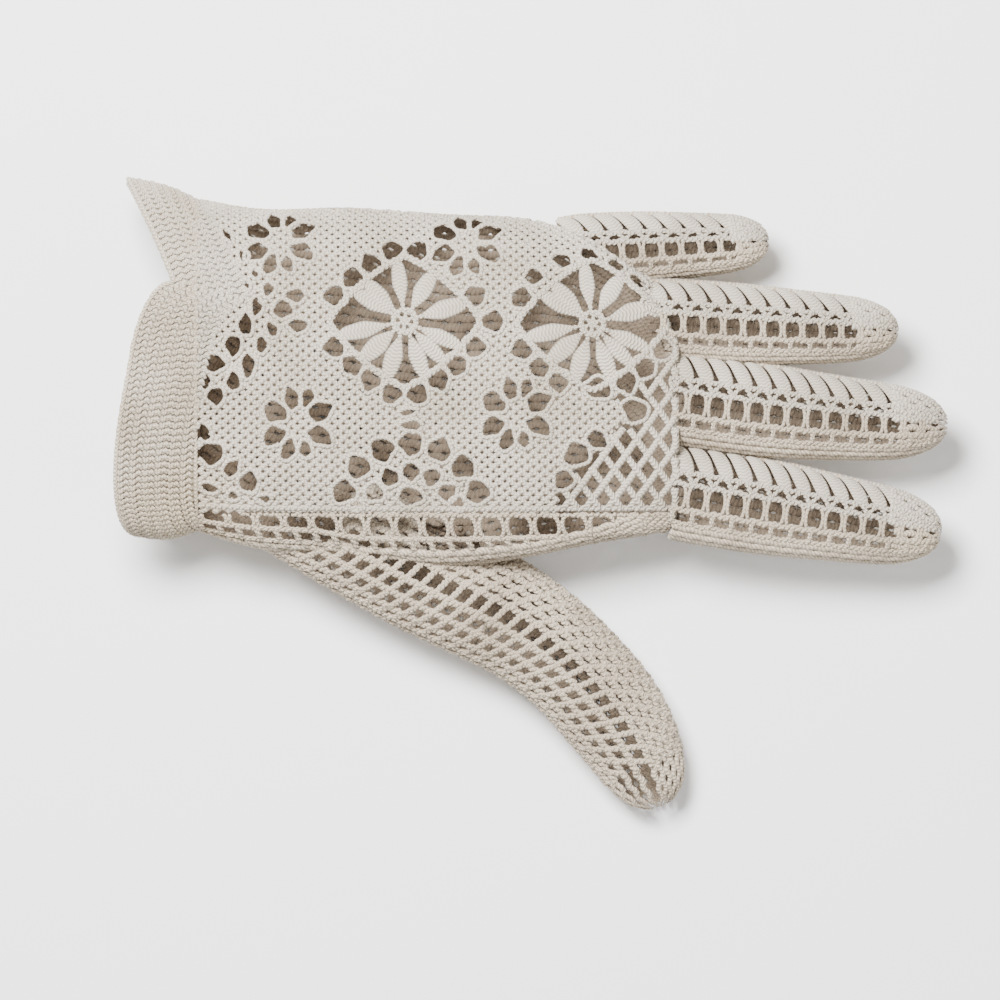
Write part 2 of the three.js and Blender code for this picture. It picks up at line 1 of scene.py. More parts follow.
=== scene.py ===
import bpy
import numpy as np
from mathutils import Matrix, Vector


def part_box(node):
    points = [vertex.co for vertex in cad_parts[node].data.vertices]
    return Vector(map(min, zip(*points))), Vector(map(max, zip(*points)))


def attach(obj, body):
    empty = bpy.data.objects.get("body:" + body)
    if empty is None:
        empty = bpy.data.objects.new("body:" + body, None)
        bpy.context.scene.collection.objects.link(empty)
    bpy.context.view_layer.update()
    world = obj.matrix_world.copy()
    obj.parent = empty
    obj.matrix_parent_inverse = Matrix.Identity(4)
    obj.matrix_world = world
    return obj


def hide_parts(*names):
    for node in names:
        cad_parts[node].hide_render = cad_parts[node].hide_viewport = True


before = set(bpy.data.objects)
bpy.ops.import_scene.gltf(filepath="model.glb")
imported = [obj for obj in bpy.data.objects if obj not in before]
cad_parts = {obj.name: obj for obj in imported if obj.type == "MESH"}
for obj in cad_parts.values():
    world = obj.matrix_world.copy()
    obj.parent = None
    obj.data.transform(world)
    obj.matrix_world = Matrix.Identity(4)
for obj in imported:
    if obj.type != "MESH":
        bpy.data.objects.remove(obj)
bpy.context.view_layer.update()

mm = 0.001  # the tables below are in millimetres, as in the frame's own source

# The form of the glove, the same numbers as the solids are made from.
form = {
    "handLength": 124.0, "handBreadth": 90.0, "handDepth": 31.0, "handSquareness": 2.35,
    "cuffLength": 21.5, "scallopDepth": 15.5, "lacePanelEdge": 38.5,
    "thumbLength": 131.0, "thumbWidth": 29.4, "thumbDepth": 22.5, "thumbDroop": 6.0,
    "fingerLength": 88.5, "fingerWidth": 21.8, "fingerDepth": 18.6, "digitSquareness": 2.1,
}
handTable = np.array([  # along, offset, breadth, depth, lift
    (0.0, 0.0, 0.944, 1.36, 0.0), (0.13, -0.039, 0.965, 1.22, 0.0), (0.32, -0.048, 0.99, 1.1, 0.01),
    (0.52, -0.072, 1.0, 1.05, 0.03), (0.69, -0.065, 0.96, 1.0, 0.05), (0.83, -0.072, 0.87, 0.92, 0.06),
    (0.93, -0.106, 0.76, 0.8, 0.06), (1.0, -0.15, 0.64, 0.62, 0.05)])
cuffTable = np.array([  # along, offset, breadth, depth, lift
    (0.0, 0.0, 0.944, 1.36, 0.0), (0.37, 0.008, 1.008, 1.44, 0.0), (0.79, 0.024, 1.022, 1.56, 0.0),
    (1.0, 0.03, 1.016, 1.62, 0.0)])
scallopTable = [(-0.19, 0.185, 0.87, 1.0), (0.185, 0.55, 1.0, 0.5), (0.55, 0.81, 0.93, 0.75)]
fingerTable = {  # length, width, depth, root, heading, turn, droop, curl
    "little": (0.6893, 0.7523, 0.8333, (0.71, 0.33, -0.1), 2.0, 1.5, 2, 8),
    "ring": (0.8475, 0.8578, 0.914, (0.87, 0.146, 0.06), -5.0, 4.0, 1, 10),
    "middle": (1.0, 1.0, 1.0, (0.87, -0.064, 0.1), -10.2, 7.6, 1, 10),
    "index": (0.9887, 1.0367, 1.0215, (0.87, -0.332, 0.07), -10.3, 2.0, 1, 10)}
taperTable = np.array([
    (0.0, 0.86), (0.18, 1.03), (0.36, 1.05), (0.5, 1.02), (0.65, 0.945), (0.8, 0.86), (0.88, 0.77),
    (0.94, 0.6), (0.98, 0.38), (1.0, 0.14)])
thumbTable = np.array([  # along, heading, size
    (0.0, -30, 0.92), (0.28, -28, 1.0), (0.45, -27, 0.97), (0.55, -35, 0.93), (0.68, -46, 0.89),
    (0.78, -53, 0.88), (0.87, -62, 0.79), (0.94, -67, 0.64), (0.98, -70, 0.43), (1.0, -70, 0.15)])
thumbRoot = (0.185, -0.387, -0.1)
webTable = np.array([(0.74, 0.43), (0.948, 0.247), (1.02, 0.019), (1.03, -0.226), (1.02, -0.62)])
thumbSeam = np.array([(0.675, -0.556), (0.56, -0.87)])


def smoothAt(table, column, where):  # a cubic through the rows, with slopes from the neighbours
    keys, values = table[:, 0], table[:, column]
    last = len(keys) - 1
    low, high = np.maximum(np.arange(last + 1) - 1, 0), np.minimum(np.arange(last + 1) + 1, last)
    slopes = (values[high] - values[low]) / (keys[high] - keys[low])
    i = np.clip(np.searchsorted(keys, where, side="right") - 1, 0, last - 1)
    step = keys[i + 1] - keys[i]
    t = np.clip((where - keys[i]) / step, 0, 1)
    rise, a, b = values[i + 1] - values[i], slopes[i] * step, slopes[i + 1] * step
    return values[i] + t * (a + t * ((3 * rise - 2 * a - b) + t * (a + b - 2 * rise)))


def oval(turn, squareness):  # turn runs from the top of the back towards the little finger
    power = 2 / squareness
    side = np.sign(np.sin(turn)) * np.abs(np.sin(turn)) ** power
    up = np.sign(np.cos(turn)) * np.abs(np.cos(turn)) ** power
    return side, up


def lengthsAlong(line):
    return np.concatenate([[0], np.cumsum(np.linalg.norm(np.diff(line, axis=0), axis=1))])


def sampled(rows, lengths, at):  # places or directions on a line, read at lengths along it
    return np.stack([np.interp(at, lengths, rows[:, i]) for i in range(3)], 1)


def between(start, end, t):
    return start[0] + (end[0] - start[0]) * t, start[1] + (end[1] - start[1]) * t


def addObject(name, data):
    made = bpy.data.objects.new(name, data)
    bpy.context.scene.collection.objects.link(made)
    return made


def giveVectors(mesh, name, vectors):
    values = np.asarray(vectors, float).ravel()
    mesh.attributes.new(name, "FLOAT_VECTOR", "POINT").data.foreach_set("vector", values)


def makeTube(stations, centres, sides, ups, halfWidths, halfDepths, squareness, byHalf):
    places, quarter = 240, 181
    turn = np.linspace(0, 2 * np.pi, 4 * quarter - 3)
    a, b = oval(turn, squareness)
    share = np.arange(places) / places
    grid, perimeters, zero = np.empty((len(stations), places, 3)), [], []
    for i in range(len(stations)):
        ring = centres[i] + np.outer(a * halfWidths[i], sides[i]) + np.outer(b * halfDepths[i], ups[i])
        lengths = lengthsAlong(ring)
        for k in range(3):
            grid[i, :, k] = np.interp(share * lengths[-1], lengths, ring[:, k])
        perimeters.append(lengths[-1])
        offset = centres[i][1]
        reach = np.interp(abs(offset), a[:quarter] * halfWidths[i], lengths[:quarter])
        zero.append(0 if byHalf else -np.sign(offset) * reach)
    along = np.gradient(grid, axis=0)
    around = np.roll(grid, -1, axis=1) - np.roll(grid, 1, axis=1)
    normals = np.cross(along, around)
    normals /= np.maximum(np.linalg.norm(normals, axis=2, keepdims=True), 1e-9)
    return {"stations": np.asarray(stations), "grid": grid, "normals": normals, "squareness": squareness,
            "perimeters": np.array(perimeters), "zero": np.array(zero), "byHalf": byHalf,
            "centres": centres, "sides": sides, "ups": ups,
            "halfWidths": halfWidths, "halfDepths": halfDepths}


def place(tube, s, across, height=0.0):
    # A place on the skin. across is millimetres from the middle of the hand's back, or on a digit a share of
    # half its girth, both towards the little finger.
    s, across = np.broadcast_arrays(np.asarray(s, float), np.asarray(across, float))
    stations, (rows, places, _) = tube["stations"], tube["grid"].shape
    i = np.clip((s - stations[0]) / (stations[1] - stations[0]), 0, rows - 1.001)
    girth = np.interp(s, stations, tube["perimeters"])
    arc = across * girth / 2 if tube["byHalf"] else across + np.interp(s, stations, tube["zero"])
    j = (arc / girth % 1) * places
    i0, j0 = i.astype(int), j.astype(int) % places
    fi, fj = (i - i0)[..., None], (j - np.floor(j))[..., None]
    j1 = (j0 + 1) % places

    def blend(values):
        low = values[i0, j0] * (1 - fj) + values[i0, j1] * fj
        return low * (1 - fi) + (values[i0 + 1, j0] * (1 - fj) + values[i0 + 1, j1] * fj) * fi

    out = blend(tube["normals"])
    return blend(tube["grid"]) + out * np.asarray(height, float)[..., None], out


def depthIn(tube, points):  # how deep points lie in a tube, about, in millimetres
    centres, portion, endReach = tube["centres"], 20000, 2.5
    best = np.full(len(points), -1e9)
    for start in range(0, len(points), portion):
        part = points[start:start + portion]
        i = np.argmin(((part[:, None, :] - centres[None]) ** 2).sum(2), axis=1)
        way = part - centres[i]
        forward = np.cross(tube["sides"][i], tube["ups"][i])
        past = np.abs((way * forward).sum(1))
        a = np.abs((way * tube["sides"][i]).sum(1)) / tube["halfWidths"][i]
        b = np.abs((way * tube["ups"][i]).sum(1)) / tube["halfDepths"][i]
        reach = (a ** tube["squareness"] + b ** tube["squareness"]) ** (1 / tube["squareness"])
        depth = (1 - reach) * tube["halfDepths"][i]
        best[start:start + portion] = np.where(past > endReach, -1e9, depth)
    return best


def handTube():
    xs = np.arange(-form["cuffLength"] - 1, form["handLength"] + 0.01, 0.5)
    onCuff = xs < 0
    where = np.where(onCuff, -xs / form["cuffLength"], xs / form["handLength"])

    def both(column):
        return np.where(onCuff, smoothAt(cuffTable, column, where), smoothAt(handTable, column, where))

    centres = np.stack([xs, both(1) * form["handBreadth"], both(4) * form["handDepth"]], axis=1)
    sides, ups = np.tile([0.0, 1.0, 0.0], (len(xs), 1)), np.tile([0.0, 0.0, 1.0], (len(xs), 1))
    return makeTube(xs, centres, sides, ups,
                    both(2) * form["handBreadth"] / 2, both(3) * form["handDepth"] / 2,
                    form["handSquareness"], False)


def digitTube(root, length, width, depth, headings, droops, sizes):
    steps = len(headings)
    step = length / (steps - 1)
    point = np.array(root) * (form["handLength"], form["handBreadth"], form["handDepth"])
    h, d = np.radians(headings), np.radians(droops)
    forward = np.stack([np.cos(h) * np.cos(d), np.sin(h) * np.cos(d), -np.sin(d)], axis=1)
    sides = np.stack([-np.sin(h), np.cos(h), np.zeros(steps)], axis=1)
    centres = point + np.concatenate([np.zeros((1, 3)), np.cumsum(forward[:-1] * step, axis=0)])
    return makeTube(np.arange(steps) * step, centres, sides, np.cross(forward, sides), width * sizes / 2,
                    depth * sizes / 2, form["digitSquareness"], True)


tubes = {"hand": handTube()}
shares = np.linspace(0, 1, 160)
for name, (length, width, depth, root, heading, turn, droop, curl) in fingerTable.items():
    tubes[name] = digitTube(root, length * form["fingerLength"], width * form["fingerWidth"],
                            depth * form["fingerDepth"], heading + turn * shares, droop + curl * shares,
                            smoothAt(taperTable, 1, shares))
tubes["thumb"] = digitTube(thumbRoot, form["thumbLength"], form["thumbWidth"], form["thumbDepth"],
                           smoothAt(thumbTable, 1, shares), np.full(160, form["thumbDroop"]),
                           smoothAt(thumbTable, 2, shares))
hand = tubes["hand"]
webs = webTable * (form["handLength"], form["handBreadth"])
thumbLine = thumbSeam * (form["handLength"], form["handBreadth"])
print("glove form laid out")


def newBag(keep):  # gathers the strands of a piece, of which the points that keep() allows are made
    return {"points": [], "outs": [], "thick": [], "strand": [], "count": 0, "keep": keep}


def addStrand(bag, tube, s, across, height, thick, keep=None):
    points, outs = place(tube, s, across, height)
    addPoints(bag, points, outs, thick, keep)


def addPoints(bag, points, outs, thick, keep=None):
    bag["points"].append(points)
    bag["outs"].append(outs)
    bag["thick"].append(np.broadcast_to(np.asarray(thick, float), (len(points),)))
    kept = np.ones(len(points), bool) if keep is None else keep
    bag["strand"].append(np.where(kept, bag["count"], -1))
    bag["count"] += 1


plait = {"pitch": 3.0, "step": 0.55, "aside": 0.24, "apart": 0.16, "strand": 0.56}


def addPlait(bag, tube, s, across, height, width):  # a cord of two strands that turn round each other
    s, across, height = np.broadcast_arrays(np.asarray(s, float), across, height)
    points, outs = place(tube, s, across, height)
    length = lengthsAlong(points)
    fine = np.linspace(0, length[-1], max(int(length[-1] / plait["step"]), 4))
    line, out = sampled(points, length, fine), sampled(outs, length, fine)
    way = np.gradient(line, axis=0)
    side = np.cross(out, way / np.linalg.norm(way, axis=1, keepdims=True))
    for half in (0, 1):
        turn = (2 * np.pi * fine / plait["pitch"] + np.pi * half)[:, None]
        apart = width * (plait["aside"] * np.sin(turn) * side + plait["apart"] * np.cos(turn) * out)
        addPoints(bag, line + apart, out, width * plait["strand"])


def beyondWebs(points):  # past the line where the fingers begin
    order = np.argsort(webs[:, 1])
    return points[:, 0] - np.interp(points[:, 1], webs[order, 1], webs[order, 0])


def beyondThumbLine(points):
    a, b = thumbLine
    way = (b - a) / np.linalg.norm(b - a)
    return (points[:, 0] - a[0]) * -way[1] + (points[:, 1] - a[1]) * way[0]


def bagMesh(bag):
    points, outs = np.concatenate(bag["points"]), np.concatenate(bag["outs"])
    thick, strand = np.concatenate(bag["thick"]), np.concatenate(bag["strand"])
    strand = np.where(bag["keep"](points), strand, -1)
    first = np.nonzero((strand[:-1] == strand[1:]) & (strand[:-1] >= 0))[0]
    used = np.zeros(len(points), bool)
    used[first] = used[first + 1] = True
    index = np.cumsum(used) - 1
    mesh = bpy.data.meshes.new("strands")
    mesh.from_pydata((points[used] * mm).tolist(), np.stack([index[first], index[first + 1]], 1).tolist(), [])
    giveVectors(mesh, "out", outs[used])
    mesh.attributes.new("thick", "FLOAT", "POINT").data.foreach_set("value", thick[used] * mm / 2)
    return mesh


def addNode(tree, kind, inputs=None, **settings):  # an input is linked if a socket is given, or else set
    node = tree.nodes.new(kind)
    for name, value in settings.items():
        setattr(node, name, value)
    for name, value in (inputs or {}).items():
        if isinstance(value, bpy.types.NodeSocket):
            tree.links.new(value, node.inputs[name])
        else:
            node.inputs[name].default_value = value
    return node


def calculate(tree, operation, *values):
    return addNode(tree, "ShaderNodeMath", dict(enumerate(values)), operation=operation).outputs["Value"]


def newTree(name, sockets):
    tree = bpy.data.node_groups.new(name, "GeometryNodeTree")
    tree.interface.new_socket(name="Geometry", in_out="INPUT", socket_type="NodeSocketGeometry")
    for label, kind in sockets:
        tree.interface.new_socket(name=label, in_out="INPUT", socket_type=kind)
    tree.interface.new_socket(name="Geometry", in_out="OUTPUT", socket_type="NodeSocketGeometry")
    return tree, addNode(tree, "NodeGroupInput").outputs


def named(tree, label, kind="FLOAT_VECTOR"):
    node = addNode(tree, "GeometryNodeInputNamedAttribute", {"Name": label}, data_type=kind)
    return node.outputs["Attribute"]


def finishTree(tree, start, geometry):  # smooth faces, real geometry and the yarn's own material
    smooth = addNode(tree, "GeometryNodeSetShadeSmooth", {"Geometry": geometry})
    real = addNode(tree, "GeometryNodeRealizeInstances", {"Geometry": smooth.outputs["Geometry"]})
    paint = addNode(tree, "GeometryNodeSetMaterial",
                    {"Geometry": real.outputs["Geometry"], "Material": start["Cotton"]})
    addNode(tree, "NodeGroupOutput", {"Geometry": paint.outputs["Geometry"]})
    return tree


def yarnTree():  # a flattened tube along every strand, with its length, turn and inner side for the material, the inner side as the mask of the painted shade
    tree, start = newTree("Yarn along strands", [
        ("Sides", "NodeSocketInt"), ("Flatness", "NodeSocketFloat"), ("Cotton", "NodeSocketMaterial")])

    def add(kind, output, inputs=None, **settings):
        return addNode(tree, kind, inputs, **settings).outputs[output]

    def captured(geometry, parameter):
        capture = addNode(tree, "GeometryNodeCaptureAttribute")
        capture.capture_items.new("FLOAT", parameter)
        tree.links.new(geometry, capture.inputs["Geometry"])
        tree.links.new(add("GeometryNodeSplineParameter", parameter), capture.inputs[1])
        return capture.outputs["Geometry"], capture.outputs[1]

    curve = add("GeometryNodeMeshToCurve", "Curve", {"Mesh": start["Geometry"]})
    curve = add("GeometryNodeSetCurveNormal", "Curve",
                {"Curve": curve, "Normal": named(tree, "out")}, mode="FREE")
    circle = add("GeometryNodeCurvePrimitiveCircle", "Curve", {"Resolution": start["Sides"], "Radius": 1.0})
    scale = add("ShaderNodeCombineXYZ", "Vector", {"X": start["Flatness"], "Y": 1.0, "Z": 1.0})
    profile = add("GeometryNodeTransform", "Geometry", {"Geometry": circle, "Scale": scale})
    curve, length = captured(curve, "Length")
    profile, share = captured(profile, "Factor")
    tube = add("GeometryNodeCurveToMesh", "Mesh", {
        "Curve": curve, "Profile Curve": profile, "Scale": named(tree, "thick", "FLOAT"), "Fill Caps": True})
    cosine = calculate(tree, "COSINE", calculate(tree, "MULTIPLY", share, 2 * np.pi))
    # inner is 1 on the side of a strand that faces into the glove: the mask for the painted shade in the
    # material
    inner = calculate(tree, "MULTIPLY_ADD", cosine, -0.5, 0.5)
    together = add("ShaderNodeCombineXYZ", "Vector", {"X": length, "Y": share, "Z": inner})
    stored = add("GeometryNodeStoreNamedAttribute", "Geometry", {
        "Geometry": tube, "Name": "yarn", "Value": together}, data_type="FLOAT_VECTOR", domain="POINT")
    return finishTree(tree, start, stored)


def stitchTree():  # one small stitch on every point, turned with the row and out of the cloth
    tree, start = newTree("Stitches in rows", [
        ("Stitch", "NodeSocketObject"), ("Cotton", "NodeSocketMaterial")])
    turn = addNode(tree, "FunctionNodeAxesToRotation", {
        "Primary Axis": named(tree, "out"), "Secondary Axis": named(tree, "row")},
        primary_axis="Z", secondary_axis="X")
    stitch = addNode(tree, "GeometryNodeObjectInfo", {"Object": start["Stitch"]})
    points = addNode(tree, "GeometryNodeInstanceOnPoints", {
        "Points": start["Geometry"], "Instance": stitch.outputs["Geometry"],
        "Rotation": turn.outputs["Rotation"], "Scale": named(tree, "size", "FLOAT")})
    return finishTree(tree, start, points.outputs["Instances"])


trees = {"yarn": yarnTree(), "stitch": stitchTree()}


def grow(mesh, tree, values):  # runs a tree on a mesh and gives back the plain result
    source = addObject(mesh.name, mesh)
    modifier = source.modifiers.new("Grow", "NODES")
    modifier.node_group = trees[tree]
    for item in trees[tree].interface.items_tree:
        if item.in_out == "INPUT" and item.name in values:
            modifier[item.identifier] = values[item.name]
    depsgraph = bpy.context.evaluated_depsgraph_get()
    made = bpy.data.meshes.new_from_object(source.evaluated_get(depsgraph), preserve_all_data_layers=True,
                                           depsgraph=depsgraph)
    bpy.data.objects.remove(source)
    return made


def spin(bag, slot, sides, flatness):  # the strands of a bag as tubes of yarn
    return grow(bagMesh(bag), "yarn", {"Sides": sides, "Flatness": flatness, "Cotton": cottons[slot]})


def joinPiece(node, meshes, slot):  # the meshes of one piece become one plain object in place of its solid
    vertices, faces, yarns, total = [], [], [], 0
    for mesh in meshes:
        points = np.empty(len(mesh.vertices) * 3)
        mesh.vertices.foreach_get("co", points)
        corners, starts = np.empty(len(mesh.loops), int), np.empty(len(mesh.polygons), int)
        mesh.loops.foreach_get("vertex_index", corners)
        mesh.polygons.foreach_get("loop_start", starts)
        yarn = np.zeros(len(mesh.vertices) * 3)
        if "yarn" in mesh.attributes:
            mesh.attributes["yarn"].data.foreach_get("vector", yarn)
        vertices.append(points.reshape(-1, 3))
        yarns.append(yarn)
        faces += [face.tolist() for face in np.split(corners + total, starts[1:])]
        total += len(mesh.vertices)
    joined = bpy.data.meshes.new(node)
    joined.from_pydata(np.concatenate(vertices).tolist(), [], faces)
    giveVectors(joined, "yarn", np.concatenate(yarns))
    joined.materials.append(cottons[slot])
    joined.polygons.foreach_set("use_smooth", np.ones(len(faces), bool))
    piece = addObject(node + "_crochet", joined)
    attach(piece, "root")
    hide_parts(node)
    triangles = sum(len(face) - 2 for face in faces)
    print(f"{node}: {triangles} triangles")
    return triangles


def closedPad(upper, lower, yarn=None):
    # a pad over a grid of places: a top skin, and a bottom skin that meets it at the border
    rows, columns = upper.shape[:2]
    index = np.arange(rows * columns).reshape(rows, columns)
    under = index + rows * columns
    border = np.ones((rows, columns), bool)
    border[1:-1, 1:-1] = False
    under[border] = index[border]
    a, b, c, d = index[:-1, :-1], index[1:, :-1], index[1:, 1:], index[:-1, 1:]
    e, f, g, h = under[:-1, :-1], under[1:, :-1], under[1:, 1:], under[:-1, 1:]
    faces = np.concatenate([np.stack(corners, 2).reshape(-1, 4) for corners in ((a, b, c, d), (e, h, g, f))])
    points = np.concatenate([upper.reshape(-1, 3), lower.reshape(-1, 3)])
    used, back = np.unique(faces, return_inverse=True)
    yarn = np.zeros((rows * columns, 3)) if yarn is None else yarn
    # the bottom skin gets 1 in z, so the material paints shade on it
    yarn = np.concatenate([yarn, yarn + (0, 0, 1)])
    mesh = bpy.data.meshes.new("pad")
    mesh.from_pydata((points[used] * mm).tolist(), [], back.reshape(-1, 4).tolist())
    giveVectors(mesh, "yarn", yarn[used])
    return mesh


ribPitch = 0.95  # millimetres between the ribs of a woven leaf, as the turns of the yarn


def leaf(tube, start, end, width, rise, ribs, lean, point=0.001):
    # a woven leaf from one place to another: domed, ribbed across, and tapered over a share of its length
    side = np.linspace(-1, 1, 9)[None, :]
    half = np.interp(start[0], tube["stations"], tube["perimeters"]) / 2 if tube["byHalf"] else 1.0
    a, b = np.array(start) * (1.0, half), np.array(end) * (1.0, half)
    way = (b - a) / np.linalg.norm(b - a)
    t = np.linspace(0, 1, int(4 * np.linalg.norm(b - a) / ribPitch))[:, None]
    fullness = np.sin(np.pi * np.clip(t, 0.02, 0.98)) ** lean * np.minimum(1, t / point + 0.15) ** 0.8
    spread = side * width / 2 * fullness
    s, aside = between(a, b, t)
    s, across = s - way[1] * spread, (aside + way[0] * spread) / half
    dome = rise * (1 - side ** 2) * fullness ** 0.5
    along = t * np.linalg.norm(b - a)
    shift = 0.5 * (np.abs(side) > 0.4)  # the ribs of the outer thirds are set off by half a step
    zigzag = 2 * np.abs(np.cos(np.pi * (along / ribPitch + shift))) ** 0.7 - 1.4
    wave = ribs * zigzag * (1 - side ** 2) ** 0.3
    upper, _ = place(tube, s + 0 * side, across + 0 * side, dome + wave + 0.25)
    lower, _ = place(tube, s + 0 * side, across + 0 * side, dome * 0 - 0.45)
    turns = (along + 0 * side) / ribPitch * cotton["twistPitch"]
    yarn = np.stack([turns, 0.25 + shift + 0 * s, 0 * s], axis=2).reshape(-1, 3)
    return closedPad(upper, lower, yarn)


cotton = {  # thread that is twisted, a little uneven, and faintly yellowed in places
    "twistPitch": 0.0011, "twistDepth": 0.00035, "roughness": 0.82, "sheen": 0.18, "unevenness": 60.0,
    "grooveShade": 0.8, "grooveShadeColour": (0.52, 0.46, 0.38, 1),  # painted shade between the turns of the yarn
    "stains": [((-0.004, -0.040, 0.012), 0.022), ((0.20, -0.052, 0.0), 0.02), ((0.19, 0.008, 0.0), 0.016)],
    "stainColour": (0.62, 0.47, 0.25, 1.0), "stainDepth": 0.3,
    "innerPaintedShade": 0.8, "innerShadeColour": (0.25, 0.185, 0.13, 1.0),  # painted shade: the inner half of every strand and the underside of every pad made darker
    "slots": {"cotton_cuff": ((0.61, 0.54, 0.44, 1), (0.47, 0.40, 0.305, 1)),
              "cotton_lace": ((0.62, 0.565, 0.485, 1), (0.48, 0.43, 0.35, 1)),
              "cotton_mesh": ((0.60, 0.52, 0.41, 1), (0.45, 0.375, 0.285, 1))},
}


def cottonMaterial(slot, light, dark):
    material = bpy.data.materials.new(slot + "_yarn")
    material.use_nodes = True
    tree = material.node_tree

    def add(kind, output, inputs=None, **settings):
        return addNode(tree, kind, inputs, **settings).outputs[output]

    def blend(amount, first, second, way="MIX"):
        return add("ShaderNodeMix", "Result", {"Factor": amount, "A": first, "B": second},
                   data_type="RGBA", blend_type=way)

    def ranged(value, low, high, first, last):
        return add("ShaderNodeMapRange", "Result", {
            "Value": value, "From Min": low, "From Max": high, "To Min": first, "To Max": last})

    where = add("ShaderNodeTexCoord", "Object")
    uneven = add("ShaderNodeTexNoise", "Fac", {"Scale": cotton["unevenness"], "Detail": 4.0, "Vector": where})
    ramp = addNode(tree, "ShaderNodeValToRGB", {"Fac": uneven})
    for stop, position, shade in zip(ramp.color_ramp.elements, (0.3, 0.62), (dark, light)):
        stop.position = position
        stop.color = shade
    colour = ramp.outputs["Color"]
    for centre, reach in cotton["stains"]:
        away = add("ShaderNodeVectorMath", "Value", {0: where, 1: centre}, operation="DISTANCE")
        colour = blend(ranged(away, 0.0, reach, cotton["stainDepth"], 0.0), colour, cotton["stainColour"])
    yarn = add("ShaderNodeAttribute", "Vector", attribute_name="yarn")
    split = addNode(tree, "ShaderNodeSeparateXYZ", {"Vector": yarn}).outputs
    turns = calculate(tree, "MULTIPLY", split["X"], 1 / cotton["twistPitch"])
    turns = calculate(tree, "ADD", turns, split["Y"])
    wave = calculate(tree, "SINE", calculate(tree, "MULTIPLY", turns, 2 * np.pi))
    groove = ranged(wave, -1.0, 1.0, 0.0, 1.0)
    bump = add("ShaderNodeBump", "Normal", {
        "Height": groove, "Strength": 0.6, "Distance": cotton["twistDepth"]})
    # painted shade: the colour is darkened in the grooves between the turns of the yarn
    shade = ranged(groove, 0.0, 1.0, cotton["grooveShade"], 0.0)
    colour = blend(shade, colour, cotton["grooveShadeColour"], "MULTIPLY")
    # painted shade: the inner side of strands and pads is darkened towards innerShadeColour
    inside = ranged(split["Z"], 0.45, 0.8, 0.0, cotton["innerPaintedShade"])
    shader = tree.nodes["Principled BSDF"].inputs
    shader["Roughness"].default_value = cotton["roughness"]
    shader["Sheen Weight"].default_value = cotton["sheen"]
    shader["Specular IOR Level"].default_value = 0.3
    tree.links.new(bump, shader["Normal"])
    tree.links.new(blend(inside, colour, cotton["innerShadeColour"]), shader["Base Color"])
    return material


cottons = {slot: cottonMaterial(slot, *colours) for slot, colours in cotton["slots"].items()}


def angleShare(points):  # how far round a place lies, from the little-finger side over the back
    i = np.clip(np.searchsorted(hand["stations"], points[:, 0]), 0, len(hand["stations"]) - 1)
    half = form["handSquareness"] / 2
    y = (points[:, 1] - hand["centres"][i, 1]) / hand["halfWidths"][i]
    z = (points[:, 2] - hand["centres"][i, 2]) / hand["halfDepths"][i]
    return np.arctan2(np.sign(z) * np.abs(z) ** half, np.sign(y) * np.abs(y) ** half) / (2 * np.pi)


def rimReach(share):  # millimetres from the wrist seam to the rim of the cuff
    share = (np.asarray(share) + 0.19) % 1 - 0.19
    notch = 1 - form["scallopDepth"] / form["cuffLength"]
    reach = np.full(share.shape, notch)
    for start, end, top, fullness in scallopTable:
        t = np.clip((share - start) / (end - start), 0, 1)
        lobe = notch + (top - notch) * np.sin(np.pi * t) ** fullness
        reach = np.where((share >= start) & (share < end), lobe, reach)
    return reach * form["cuffLength"]


cuff = {
    "rows": 12, "rowPitch": 1.62, "rimInset": 1.5, "stitchPitch": 1.75, "stitchThread": 0.98,
    "baseRise": -0.25, "baseThick": 0.9, "bandThick": 0.7,
    "chainThread": 1.25, "chainShift": 0.4, "chainRises": (0.35, -0.9), "seamThread": 1.1,
}
band = cuff["rows"] * cuff["rowPitch"]


def onBack(points):  # the lace panel: past its edge on the thumb side, and above the middle of the sides
    return (points[:, 1] > -form["lacePanelEdge"]) & (points[:, 2] > 0.02 * form["handDepth"])


def pastBand(points):  # distance past the inner edge of the cuff's stitches
    return points[:, 0] + rimReach(angleShare(points)) - band


# cuff: ridges of stitches that follow the scalloped rim

def stitchMesh():  # one bent strand, the two legs of a crochet stitch
    bag = newBag(lambda points: np.ones(len(points), bool))
    t = np.linspace(-1, 1, 5)
    points = np.stack([0.75 - 1.5 * np.abs(t), 0.72 * t, 0.30 * (1 - t ** 2)], axis=1)
    addPoints(bag, points, np.tile([0.0, 0.0, 1.0], (5, 1)), cuff["stitchThread"])
    return spin(bag, "cotton_cuff", 5, 0.85)


def cuffPoint(share, x, height):
    # a place on the cuff by its share of the way round, on the ovals that the glove is built over
    turn = np.pi / 2 - 2 * np.pi * share
    a, b = oval(turn, form["handSquareness"])
    y0, z0 = (np.interp(x, hand["stations"], hand["centres"][:, k]) for k in (1, 2))
    halfWidth = np.interp(x, hand["stations"], hand["halfWidths"]) + height
    halfDepth = np.interp(x, hand["stations"], hand["halfDepths"]) + height
    points = np.stack([x, y0 + a * halfWidth, z0 + b * halfDepth], axis=-1)
    out = np.stack([0 * x, a / halfWidth, b / halfDepth], axis=-1)
    return points, out / np.linalg.norm(out, axis=-1, keepdims=True)


